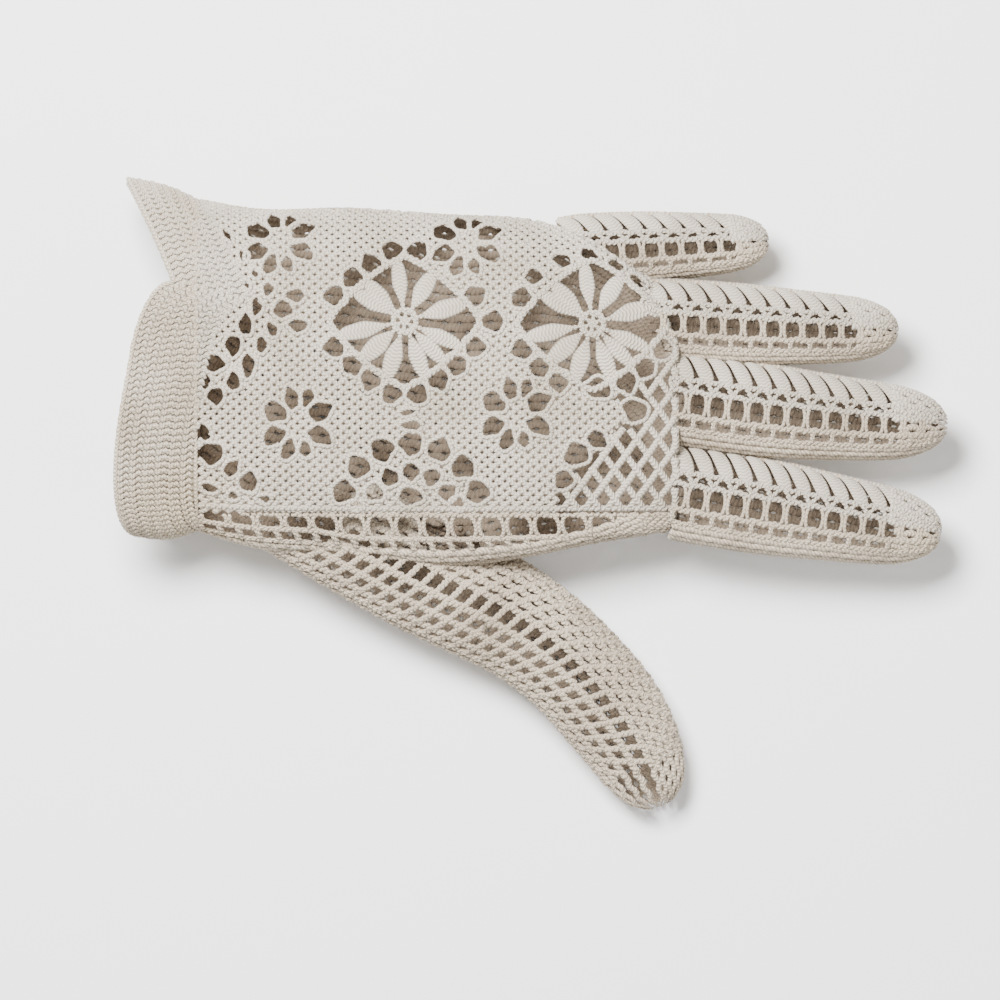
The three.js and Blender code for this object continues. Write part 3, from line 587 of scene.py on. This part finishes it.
def stitchRows(keep, slot):  # the cuff's rows, of which each piece takes those that lie on it
    places, outs, ways = [], [], []
    fine = np.linspace(0, 1, 1441)
    for k in range(cuff["rows"]):
        x = -rimReach(fine) + cuff["rimInset"] + k * cuff["rowPitch"]
        line, out = cuffPoint(fine, x, np.full(len(fine), 0.05 + 0.12 * (k % 2)))
        length = lengthsAlong(line)
        count = int(length[-1] / cuff["stitchPitch"])
        at = (np.arange(count) + 0.5 * (k % 2)) * length[-1] / count
        point, normal = sampled(line, length, at), sampled(out, length, at)
        ahead = sampled(line, length, at + 0.4)
        kept = keep(point)
        places.append(point[kept])
        outs.append(normal[kept])
        ways.append(((ahead - point) * (-1) ** k)[kept])
    places, outs, ways = np.concatenate(places), np.concatenate(outs), np.concatenate(ways)
    mesh = bpy.data.meshes.new("rows")
    mesh.from_pydata((places * mm).tolist(), [], [])
    giveVectors(mesh, "out", outs)
    giveVectors(mesh, "row", ways)
    mesh.attributes.new("size", "FLOAT", "POINT").data.foreach_set("value", np.ones(len(places)))
    stitch = addObject("stitch", stitchMesh())
    rows = grow(mesh, "stitch", {"Stitch": stitch, "Cotton": cottons[slot]})
    bpy.data.objects.remove(stitch)
    return rows


def bandGround(low, high, step):  # a close-worked ground under the cuff's stitches, past the wrist seam
    share = np.arange(low, high, step)
    inner = band - rimReach(share)
    share, inner = share[inner > 0.6], inner[inner > 0.6]
    t = np.linspace(0, 1, 12)[:, None]
    x = 0.3 + (inner[None, :] - 0.5) * t
    both = share[None, :] + 0 * x
    top, _ = cuffPoint(both, x, cuff["baseRise"] + 0 * x)
    under, _ = cuffPoint(both, x, cuff["baseRise"] - cuff["bandThick"] + 0 * x)
    return closedPad(top, under)


def buildCuff():
    share = np.linspace(0, 1, 241)
    reach = rimReach(share)
    # a close-worked ground under the stitches
    t = np.linspace(0, 1, 9)[:, None]
    x = -reach[None, :] * (1 - t) - 0.25 * t
    rise = cuff["baseRise"]
    top, _ = cuffPoint(share[None, :] + 0 * x, x, rise + 0 * x)
    under, _ = cuffPoint(share[None, :] + 0 * x, x, rise - cuff["baseThick"] + 0 * x)
    top, under = top[:, :-1], under[:, :-1]
    rows, columns = top.shape[:2]
    index = np.arange(rows * columns).reshape(rows, columns)
    low, count = index + rows * columns, rows * columns
    after, afterLow = np.roll(index, -1, 1), np.roll(low, -1, 1)
    faces = np.concatenate([
        np.stack([index[:-1], after[:-1], after[1:], index[1:]], 2).reshape(-1, 4),
        np.stack([low[:-1], low[1:], afterLow[1:], afterLow[:-1]], 2).reshape(-1, 4),
        np.stack([index[0], low[0], afterLow[0], after[0]], 1),
        np.stack([index[-1], after[-1], afterLow[-1], low[-1]], 1)])
    ground = bpy.data.meshes.new("ground")
    corners = np.concatenate([top.reshape(-1, 3), under.reshape(-1, 3)])
    ground.from_pydata((corners * mm).tolist(), [], faces.tolist())
    # the under side gets 1 in z, so the material paints shade on it
    giveVectors(ground, "yarn", np.outer(np.repeat([0, 1], count), [0, 0, 1]))
    stitches = stitchRows(lambda points: points[:, 0] < 0.2, "cotton_cuff")
    # a chain round the rim, and a row of threads beside the seam
    bag = newBag(lambda points: points[:, 0] < 0.3)
    fine = np.linspace(0, 1, 361)
    for rise in cuff["chainRises"]:
        points, out = cuffPoint(fine, -rimReach(fine) + cuff["chainShift"], rise + 0 * fine)
        addPoints(bag, points, out, cuff["chainThread"] + 0.2 * np.cos(fine * 2 * np.pi * 90))
    points, out = cuffPoint(fine, -0.35 + 0 * fine, 0.1 + 0 * fine)
    addPoints(bag, points, out, cuff["seamThread"])
    return joinPiece("cuff_band", [ground, stitches, spin(bag, "cotton_cuff", 6, 0.8)], "cotton_cuff")


# back lace: close cloth stitch with gaps left in it, two flowers of woven leaves, and a plaited net

lace = {
    "eyelets": [(26.0, -15.3), (82.7, -12.8), (21.3, 32.9), (69.8, 32.4)],
    "leafFlowers": [(53.8, 11.2), (102.4, 10.6)], "fan": (55.4, -38.7),
    "diamondLong": 31.0, "diamondWide": 28.5,  # the cloth round the second eyelet, where the net meets it
    "clothPitch": 1.95, "clothThread": 1.42, "clothSlant": 40.0, "rimThread": 1.15,
    "gapRoundness": 1.7, "gapWobble": 0.075,
    "leafReach": 20.6, "leafRing": 19.2, "leafGapRing": 22.9, "leafSqueeze": 0.88, "leafRoundness": 1.25,
    "leafGap": (5.5, 5.2), "leafGaps": 18,
    "leaves": [(17, 4.6), (60, 4.4), (97, 3.7), (134, 3.9), (149, 3.9), (192, 4.2), (222, 4.7), (253, 4.4),
               (290, 4.1), (314, 3.7), (336, 3.7)],  # the way that each leaf points, and its width
    "leafShape": (0.5, 0.3, 0.25, 0.55), "leafWiden": 1.1, "leafStart": 4.7,  # rise, ribs, lean and point
    "flowerThread": 2.0, "heartRadius": 3.0, "heartThread": 1.7, "crossReach": 2.8, "stem": (2.6, 6.0),
    "netPitch": 4.83, "netSlant": 53.8, "netThread": 1.9, "netCentre": (116.8, -19.5),
    "netTop": 7.0, "netStart": 94.0,
    "edgeAcross": -37.6, "edgeThread": 1.8, "seamThread": 1.2,
}
# gaps about a centre: the way to each, how far it lies, its length outwards and its width
eyeletGaps = [(28, 6.6, 6.4, 4.7), (152, 6.5, 6.2, 5.0), (208, 6.8, 6.0, 4.6), (332, 6.6, 6.6, 4.3),
              (69, 7.2, 4.8, 2.9), (103, 6.7, 5.8, 3.6), (250, 7.1, 5.6, 3.4), (287, 7.0, 4.2, 2.9)]
fanGaps = [(18 + 24 * k, 18.2, 6.0, 6.0) for k in range(7)]
fanGaps += [(30 + 30 * k, 10.9, 4.6, 4.4) for k in range(5)]
fanGaps += [(92, 4.4, 4.6, 6.2), (172, 14.4, 3.2, 2.0), (12, 12.4, 3.4, 3.2)]
# beside the cuff, the slits above them, and the larger ones of the net: along, across, length, width, tilt
looseGaps = [
    (15.4, 14.9, 2.4, 4.9, 0), (12.5, 10.3, 3.3, 5.4, 0), (9.3, 4.9, 3.9, 5.2, 0),
    (4.4, 0.3, 5.4, 4.3, 0), (1.7, -4.3, 3.6, 3.9, 0), (13.2, -0.3, 3.1, 6.1, 0),
    (9.4, -4.4, 3.3, 4.6, 0), (4.8, -8.2, 4.1, 4.4, 0), (16.7, 5.1, 2.7, 4.0, 0),
    (19.4, 9.1, 3.8, 2.3, -62), (26.2, 10.1, 4.9, 3.1, 0), (22.2, 14.3, 4.8, 4.5, 0),
    (25.4, 17.9, 4.8, 3.2, 0), (18.4, 19.5, 2.6, 3.4, 0), (1.9, -17.6, 2.6, 4.4, 20),
    (3.6, -23.1, 6.4, 5.6, 0), (8.9, -27.0, 4.8, 3.2, 55), (13.3, -30.6, 4.6, 5.5, 0),
    (3.2, -32.4, 4.4, 2.2, -15), (9.2, -34.4, 2.4, 2.2, 0), (17.3, -35.2, 3.2, 1.8, 0),
    (7.6, 34.6, 4.4, 1.3, -60), (11.8, 28.5, 3.1, 1.8, -70), (15.0, 23.8, 2.4, 1.5, -70),
    (12.6, 20.6, 2.4, 1.4, -70), (55.5, -15.8, 5.2, 2.2, 0), (54.6, -12.4, 4.2, 1.2, 10),
    (103.9, -6.2, 6.8, 5.1, -10), (113.4, -11.9, 6.4, 5.4, -25), (103.7, -19.4, 5.4, 4.2, -35),
    (98.3, -23.2, 6.6, 5.8, 30), (95.0, -29.9, 4.6, 5.0, -30), (87.3, 22.9, 4.6, 4.0, 0),
    (94.5, 27.4, 5.0, 3.4, -20), (101.5, 29.5, 4.6, 3.2, -25), (108.5, 26.8, 4.4, 3.4, -35),
    (114.0, 22.3, 4.6, 3.2, -40), (117.5, 15.5, 4.4, 3.2, -50)]
# the row along the little-finger side
sideGaps = [(at, 45.5, 4.2, 3.0, -6) for at in np.arange(36.0, 92.0, 5.4)]


def fromFlower(x, a, centre):
    power = lace["leafRoundness"]
    reach = np.abs(x - centre[0]) ** power + np.abs((a - centre[1]) / lace["leafSqueeze"]) ** power
    return reach ** (1 / power)


def flowerPoint(centre, radius, turn):
    power = lace["leafRoundness"]
    squeezed = np.abs(np.sin(turn) / lace["leafSqueeze"]) ** power
    reach = (np.abs(np.cos(turn)) ** power + squeezed) ** (-1 / power)
    return centre[0] + radius * reach * np.cos(turn), centre[1] + radius * reach * np.sin(turn)


def layOutGaps():  # all gaps in the cloth, of which a later one gives way to those before it
    charted = []
    for centres, rows in ((lace["eyelets"], eyeletGaps), ([lace["fan"]], fanGaps)):
        for cx, ca in centres:
            for turn, far, length, width in rows:
                way = np.radians(turn)
                charted.append((cx + far * np.cos(way), ca + far * np.sin(way), length, width, turn))
    charted += looseGaps
    wanted = list(charted)
    for centre in lace["leafFlowers"]:
        for turn in np.arange(lace["leafGaps"]) * 360 / lace["leafGaps"]:
            x, a = flowerPoint(centre, lace["leafGapRing"], np.radians(turn))
            wanted.append((x, a, *lace["leafGap"], turn))
    wanted += sideGaps
    kept = wanted[:len(charted)]
    for gap in wanted[len(charted):]:
        x, a, length, width, _ = gap
        clear = all(np.hypot(x - other[0], a - other[1]) > (length + width + other[2] + other[3]) / 4 + 0.2
                    for other in kept)
        inFlower = any(fromFlower(x, a, centre) < lace["leafReach"] + 0.6 for centre in lace["leafFlowers"])
        if clear and not inFlower:
            kept.append(gap)
    # the last number makes each outline its own
    return np.array([(*gap, 2.4 * k) for k, gap in enumerate(kept)])


gaps = layOutGaps()


def gapOutline(turn, phase):  # how far the border of a gap lies from its middle, as a share of its half size
    power = lace["gapRoundness"]
    reach = (np.abs(np.cos(turn)) ** power + np.abs(np.sin(turn)) ** power) ** (-1 / power)
    return reach * (1 + lace["gapWobble"] * (np.cos(3 * turn + phase) + 0.7 * np.cos(5 * turn + 2 * phase)))


def inGap(x, a):
    x, a = np.ravel(x), np.ravel(a)
    point, gap = np.nonzero((np.abs(x[:, None] - gaps[:, 0]) < 5) & (np.abs(a[:, None] - gaps[:, 1]) < 5))
    cx, ca, length, width, tilt, phase = gaps[gap].T
    x, a, found = x[point] - cx, a[point] - ca, np.zeros(len(x), bool)
    cos, sin = np.cos(np.radians(tilt)), np.sin(np.radians(tilt))
    along, aside = (x * cos + a * sin) * 2 / length, (a * cos - x * sin) * 2 / width
    found[point[np.hypot(along, aside) < gapOutline(np.arctan2(aside, along), phase) * 1.08]] = True
    return found


def region(x, a):  # 0 net, 1 cloth stitch, 2 open
    cx, ca = lace["eyelets"][1]
    diamond = np.abs(x - cx) / lace["diamondLong"] + np.abs(a - ca) / lace["diamondWide"] < 1
    kind = np.where((x > lace["netStart"]) & (a < lace["netTop"]) & ~diamond, 0, 1)
    for centre in lace["leafFlowers"]:
        reach = fromFlower(x, a, centre)
        kind[reach < lace["leafReach"] + 5.5] = 1
        kind[reach < lace["leafRing"]] = 2
    kind[inGap(x, a)] = 2
    return kind


def slantedThreads(bag, centre, pitch, slant, thick, wanted, rise, weave):
    # two families of threads that cross, over and under each other in turn
    angle = np.radians(slant)
    first, second = np.array([np.cos(angle), np.sin(angle)]), np.array([np.cos(angle), -np.sin(angle)])
    t = np.arange(-170, 170, pitch / 2)
    for way, other, phase in ((first, second, 0), (second, first, 1)):
        for k in range(-70, 71):
            x = centre[0] + (k + 0.5) * pitch * other[0] + t * way[0]
            a = centre[1] + (k + 0.5) * pitch * other[1] + t * way[1]
            inside = (x > 0.3) & (x < 129) & (a > -62) & (a < 62)
            if inside.sum() < 2:
                continue
            x, a = x[inside], a[inside]
            over = np.cos(np.pi * ((t[inside] / pitch) + 0.5 + k + phase))
            addStrand(bag, hand, x, a, rise + weave * over, thick, region(x, a) == wanted)


def circle(bag, centre, radius, thick, rise):
    turn = np.linspace(0, 2 * np.pi, max(int(radius * 6), 9))
    addPlait(bag, hand, centre[0] + radius * np.cos(turn), centre[1] + radius * np.sin(turn), rise, thick)


def post(bag, tube, start, end, thick, rise=0.3):
    t = np.linspace(0, 1, 4)
    s, across = between(start, end, t)
    addPlait(bag, tube, s, across, rise + 0.25 * np.sin(np.pi * t), thick)


def waistedPost(bag, tube, start, end, thick, spread):
    # two strands that lean together in the middle of a post
    t = np.linspace(0, 1, 7)
    s, across = between(start, end, t)
    for side in (-1, 1):
        aside = side * (0.36 * thick + spread * np.abs(2 * t - 1) ** 2.5)
        addStrand(bag, tube, s + aside, across, 0.25 + 0.2 * np.sin(np.pi * t), thick)


def gapRims(bag):  # a thread round every gap
    thread = lace["rimThread"]
    for x, a, length, width, tilt, phase in gaps:
        turn = np.linspace(0, 2 * np.pi, 12 + int(length + width))
        reach = gapOutline(turn, phase)
        along = reach * np.cos(turn) * (length + thread) / 2
        aside = reach * np.sin(turn) * (width + thread) / 2
        cos, sin = np.cos(np.radians(tilt)), np.sin(np.radians(tilt))
        rise = 0.5 + 0.12 * np.sin(turn * 5)
        addStrand(bag, hand, x + along * cos - aside * sin, a + along * sin + aside * cos, rise, thread)


def leafFlower(bag, leaves, centre):
    x, a = flowerPoint(centre, lace["leafRing"] + 0.3, np.linspace(0, 2 * np.pi, 145))
    addPlait(bag, hand, x, a, 0.45, lace["flowerThread"])
    circle(bag, centre, lace["heartRadius"], lace["heartThread"], 0.6)
    for i in range(3):
        turn = np.pi * i / 3 + 0.4
        way = lace["crossReach"] * np.array([np.cos(turn), np.sin(turn)])
        post(bag, hand, np.array(centre) - way, np.array(centre) + way, 1.3, 0.5)
    for turn, width in lace["leaves"]:
        turn = np.radians(turn)
        end = flowerPoint(centre, lace["leafRing"] - 0.2, turn)
        start = flowerPoint(centre, lace["leafStart"], turn)
        leaves.append(leaf(hand, start, end, width * lace["leafWiden"], *lace["leafShape"]))
        post(bag, hand, *(flowerPoint(centre, radius, turn) for radius in lace["stem"]), 1.3)


def buildLace():
    def keep(points):
        return (onBack(points) & (pastBand(points) > -0.4) & (points[:, 0] > 0.2) & (beyondWebs(points) < 0.6)
                & (depthIn(tubes["thumb"], points) < 0.5))

    ground, outline, net, leaves = newBag(keep), newBag(keep), newBag(keep), []
    slantedThreads(ground, lace["eyelets"][0], lace["clothPitch"], lace["clothSlant"],
                   lace["clothThread"], 1, 0.15, 0.2)
    slantedThreads(net, lace["netCentre"], lace["netPitch"], lace["netSlant"],
                   lace["netThread"], 0, 0.3, 0.2)
    gapRims(outline)
    for centre in lace["leafFlowers"]:
        leafFlower(outline, leaves, centre)
    edge = np.arange(0, 126, 1.0)  # the edge of the panel on the thumb side
    rise = 0.3 + 0.1 * np.sin(edge * 2.5)
    addPlait(outline, hand, edge, lace["edgeAcross"], rise, lace["edgeThread"])
    for a, b in zip(webs[:-1], webs[1:]):  # a plait where the fingers begin
        x, y = between(a, b, np.linspace(0, 1, 24))
        x = np.minimum(x - 0.4, 123.8)
        seam = [acrossAt(*spot) for spot in zip(x, y)]
        addPlait(outline, hand, x, seam, 0.0, lace["seamThread"])
    made = [spin(ground, "cotton_lace", 6, 0.5), spin(net, "cotton_lace", 6, 0.6)]
    made.append(spin(outline, "cotton_lace", 6, 0.75))
    made.append(stitchRows(lambda points: onBack(points) & (points[:, 0] >= 0.2), "cotton_lace"))
    made.append(bandGround(0.05, 0.33, 0.004))
    return joinPiece("back_lace_panel", made + leaves, "cotton_lace")


def acrossAt(x, y):  # millimetres over the back to a place seen from above
    tries = np.linspace(-62, 62, 497)
    points, _ = place(hand, np.full(497, min(x, 123.8)), tries)
    tops = points[:, 2] > points[:, 2].mean() - 2
    return tries[np.argmin(np.where(tops, np.abs(points[:, 1] - y), 1e9))]


# crochet mesh: rows along the hand and the digits, open above and close below

crochet = {
    "closeThread": 3.0, "wave": 4.0, "openThread": 1.8, "postThread": 2.0, "postPitch": 4.2,
    "waistThread": 1.15, "waistSpread": 1.3,
    "palmRows": (0.2, 0.765, 0.0118), "palmSwing": 0.34,
    "joinTop": -39.35, "joinDrop": ((0, 30, 42, 90, 125), (4.2, 4.8, 7.0, 6.6, 6.0)),
    "joinPitch": 7.2, "joinSlant": 0.8, "sidePitch": 5.0, "sideSlant": 1.4, "sideStep": 4.4,
    "thumbRows": [-0.52, -0.45, -0.38, -0.3, -0.19, -0.075, 0.07, 0.135, 0.2, 0.265, 0.33, 0.4, 0.49],
    "thumbUnder": (0.52, -0.54, 0.058), "thumbSlant": 1.9, "thumbThread": 2.3,
}


def underRows(first, last, step):  # rows from one side of a digit, below it, to the other side
    return np.concatenate([np.arange(first, 1.0, step), np.arange(-1.0, last, step)])


def closeRows(bag, tube, start, end, acrosses, thick, swing):
    # neighbouring rows swing apart and together, and leave small eyes between them
    s = np.arange(start, end, 0.9)
    girth = np.interp(s, tube["stations"], tube["perimeters"])
    scale = girth / tube["perimeters"].max()
    for k, across in enumerate(acrosses):
        wave = (-1) ** k * np.cos(2 * np.pi * s / crochet["wave"])
        sway = swing * wave / (girth / 2 if tube["byHalf"] else 1)
        base = across if tube["byHalf"] else across * girth
        addStrand(bag, tube, s, base + sway, 0.05 + 0.2 * np.abs(wave), thick * scale)


def openRows(bag, tube, start, end, acrosses, slant, thick, pitch, rise=0.25, waisted=False):
    # rows of twisted yarn with slanted posts between them, set off by half a step in every other row
    s = np.arange(start, end, 1.0)
    lines = [np.broadcast_to(across, s.shape) for across in acrosses]
    girth = np.interp(s, tube["stations"], tube["perimeters"]) / 2
    for line in lines:
        wave = np.sin(2 * np.pi * s / pitch)
        sway = 0.22 * wave / (girth if tube["byHalf"] else 1)
        addPlait(bag, tube, s, line + sway, rise + 0.15 * wave, thick)
    for k, (low, high) in enumerate(zip(lines[:-1], lines[1:])):
        for at in np.arange(start + (k % 2) * pitch / 2, end - slant, pitch):
            foot, top = (at, np.interp(at, s, low)), (at + slant, np.interp(at + slant, s, high))
            if waisted:
                waistedPost(bag, tube, foot, top, crochet["waistThread"], crochet["waistSpread"])
            else:
                post(bag, tube, foot, top, crochet["postThread"], rise)


def buildThumbAndPalm():
    thumb = tubes["thumb"]

    def keepPalm(points):
        below = ~onBack(points)
        return below & (points[:, 0] > 0.2) & (beyondWebs(points) < 0.4) & (depthIn(thumb, points) < 0.9)

    def keepRoot(points):
        return (beyondThumbLine(points) < 0.7) & (depthIn(hand, points) < 0.6) & (points[:, 0] > 0.2)

    def keepTip(points):
        return (beyondThumbLine(points) > -0.3) & (depthIn(hand, points) < 0.6)

    palm = newBag(keepPalm)
    closeRows(palm, hand, 0.3, 125.5, np.arange(*crochet["palmRows"]),
              crochet["closeThread"], crochet["palmSwing"])
    s = np.arange(0.3, 125, 1.0)
    top = np.full(len(s), crochet["joinTop"])
    join = top - np.interp(s, *crochet["joinDrop"])  # the row of large gaps under the lace
    openRows(palm, hand, 0.3, 125, [top, join], crochet["joinSlant"], crochet["openThread"],
             crochet["joinPitch"], 0.25, True)
    below = [join - crochet["sideStep"] * k for k in range(4)]
    openRows(palm, hand, 0.3, 125, below, crochet["sideSlant"], crochet["openThread"], crochet["sidePitch"])
    made = [spin(palm, "cotton_mesh", 5, 0.6)]
    upper, lower = np.array(crochet["thumbRows"]), underRows(*crochet["thumbUnder"])
    for keep, node in ((keepRoot, None), (keepTip, "thumb_mesh")):
        net, close = newBag(keep), newBag(keep)
        openRows(net, thumb, 0.5, 120, upper, crochet["thumbSlant"], crochet["thumbThread"],
                 crochet["postPitch"])
        closeRows(close, thumb, 0.5, 131, lower, 2.6, 0.5)
        closeRows(close, thumb, 119, 131, upper, 2.8, 0.4)
        meshes = [spin(net, "cotton_mesh", 6, 0.75), spin(close, "cotton_mesh", 5, 0.6)]
        if node:
            return joinPiece("palm_mesh", made, "cotton_mesh") + joinPiece(node, meshes, "cotton_mesh")
        made += meshes


# fingers: a strip of slanted leaves, open stitches beside it, and close rows round the rest

finger = {
    "barPitch": 5.1, "barWidth": 4.15, "barTop": 0.47, "barFoot": 0.15, "barSlant": 4.8,
    "barShape": (0.35, 0.18, 0.15), "legMeet": (1.3, 0.07), "legs": ((-0.4, 1.5), (3.4, 1.3)),
    "stripRows": ((0.15, 1.5), (0.06, 1.7)), "netRows": ((-0.13, 1.8), (-0.24, 1.8)),  # across, thread
    "waistThread": 0.95, "waistSpread": 0.75, "netPost": 1.7, "edgeThread": 2.0,
    "under": (0.5, -0.23, 0.072), "underThread": 2.75, "underSwing": 0.27, "tipThread": 2.6, "tipSwing": 0.35,
}


def buildFinger(name):
    tube = tubes[name]
    length, order = tube["stations"][-1], list(fingerTable)
    beside = [tubes[order[i]] for i in (order.index(name) - 1, order.index(name) + 1) if 0 <= i < 4]

    def keep(points):
        offHand = (depthIn(hand, points) < 0.5) | (points[:, 0] > form["handLength"])
        clear = (beyondWebs(points) > -4.5) & offHand
        for other in beside:
            clear &= depthIn(other, points) < 0.35
        return clear & (points[:, 0] > 90)

    strip, net, close, bars = newBag(keep), newBag(keep), newBag(keep), []
    begin, pitch, top, foot = length * 0.1, finger["barPitch"], finger["barTop"], finger["barFoot"]
    for at in np.arange(begin, length * 0.8, pitch):
        end = at + finger["barSlant"]
        middle, _ = place(tube, np.array([at + 1.0]), np.array([0.3]))
        if keep(middle)[0]:
            bars.append(leaf(tube, (at, top), (end, foot), finger["barWidth"], *finger["barShape"]))
        meet = (end + finger["legMeet"][0], finger["legMeet"][1])
        for aside, thick in finger["legs"]:
            post(strip, tube, (end + aside, foot), meet, thick)
    s = np.arange(begin, length * 0.97, 1.0)
    for bag, rows in ((strip, finger["stripRows"]), (net, finger["netRows"])):
        for across, width in rows:
            addPlait(bag, tube, s, across + 0.008 * np.sin(s * 2 * np.pi / pitch), 0.35, width)
    (upper, _), (lower, _) = finger["netRows"]
    for at in np.arange(begin, length * 0.93, pitch):
        waistedPost(net, tube, (at + 0.3, upper), (at, finger["stripRows"][1][0]),
                    finger["waistThread"], finger["waistSpread"])
        post(net, tube, (at + 2.4, upper), (at + 2.7, lower), finger["netPost"])
    addStrand(strip, tube, s, 0.49 + 0 * s, 0.1 + 0 * s, finger["edgeThread"])
    closeRows(close, tube, begin, length, underRows(*finger["under"]),
              finger["underThread"], finger["underSwing"])
    for bag, share, across in ((close, 0.84, (-0.26, -0.01, 0.07)), (strip, 0.82, (0.04, 0.5, 0.07))):
        closeRows(bag, tube, length * share, length, np.arange(*across),
                  finger["tipThread"], finger["tipSwing"])
    total = joinPiece(name + "_lace_strip", [spin(strip, "cotton_lace", 5, 0.7)] + bars, "cotton_lace")
    return total + joinPiece(name + "_mesh", [
        spin(net, "cotton_mesh", 6, 0.75), spin(close, "cotton_mesh", 5, 0.6)], "cotton_mesh")


total = buildCuff()
print("cuff made")
total += buildLace()
print("back lace made")
total += buildThumbAndPalm()
print("palm and thumb made")
for name in fingerTable:
    total += buildFinger(name)
print(f"fingers made, {total} triangles in all")

# floor, light and camera

studio = {"middle": (0.08, -0.03, 0.0), "floorDrop": 0.0008, "floorSize": 1.6,
          "keyPower": 29.0, "fillPower": 2.5, "skyStrength": 0.46}
picture = {"middle": (0.0785, -0.0351), "field": 0.26, "height": 3.0, "glovePlane": 0.008, "sensor": 36.0}

low = min(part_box(node)[0].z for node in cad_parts)
plane = studio["floorSize"] / 2
floorMesh = bpy.data.meshes.new("floor")
corners = ((-plane, -plane), (plane, -plane), (plane, plane), (-plane, plane))
floorMesh.from_pydata([(x + studio["middle"][0], y + studio["middle"][1], low - studio["floorDrop"])
                       for x, y in corners], [], [(0, 1, 2, 3)])
floor = addObject("floor", floorMesh)
paper = bpy.data.materials.new("pale_paper")
paper.use_nodes = True
paper.node_tree.nodes["Principled BSDF"].inputs["Base Color"].default_value = (0.97, 0.97, 0.97, 1)
paper.node_tree.nodes["Principled BSDF"].inputs["Roughness"].default_value = 0.9
floorMesh.materials.append(paper)

world = bpy.data.worlds.new("studio")
world.use_nodes = True
world.node_tree.nodes["Background"].inputs["Color"].default_value = (1.0, 0.99, 0.97, 1)
world.node_tree.nodes["Background"].inputs["Strength"].default_value = studio["skyStrength"]
bpy.context.scene.world = world


def softLight(name, position, size, power):
    light = bpy.data.lights.new(name, "AREA")
    light.energy, light.size = power, size
    lamp = addObject(name, light)
    lamp.location = position
    way = np.array(studio["middle"]) - np.array(position)
    lamp.rotation_euler = (np.arccos(-way[2] / np.linalg.norm(way)), 0,
                           np.arctan2(way[1], way[0]) - np.pi / 2)


softLight("key", (-0.12, 0.28, 0.8), 0.3, studio["keyPower"])
softLight("fill", (0.6, -0.3, 0.6), 0.6, studio["fillPower"])

cameraData = bpy.data.cameras.new("camera")
cameraData.sensor_width = picture["sensor"]
cameraData.lens = picture["sensor"] * (picture["height"] - picture["glovePlane"]) / picture["field"]
camera = addObject("camera", cameraData)
camera.location = (*picture["middle"], picture["height"])
bpy.context.scene.camera = camera

print("stage set")
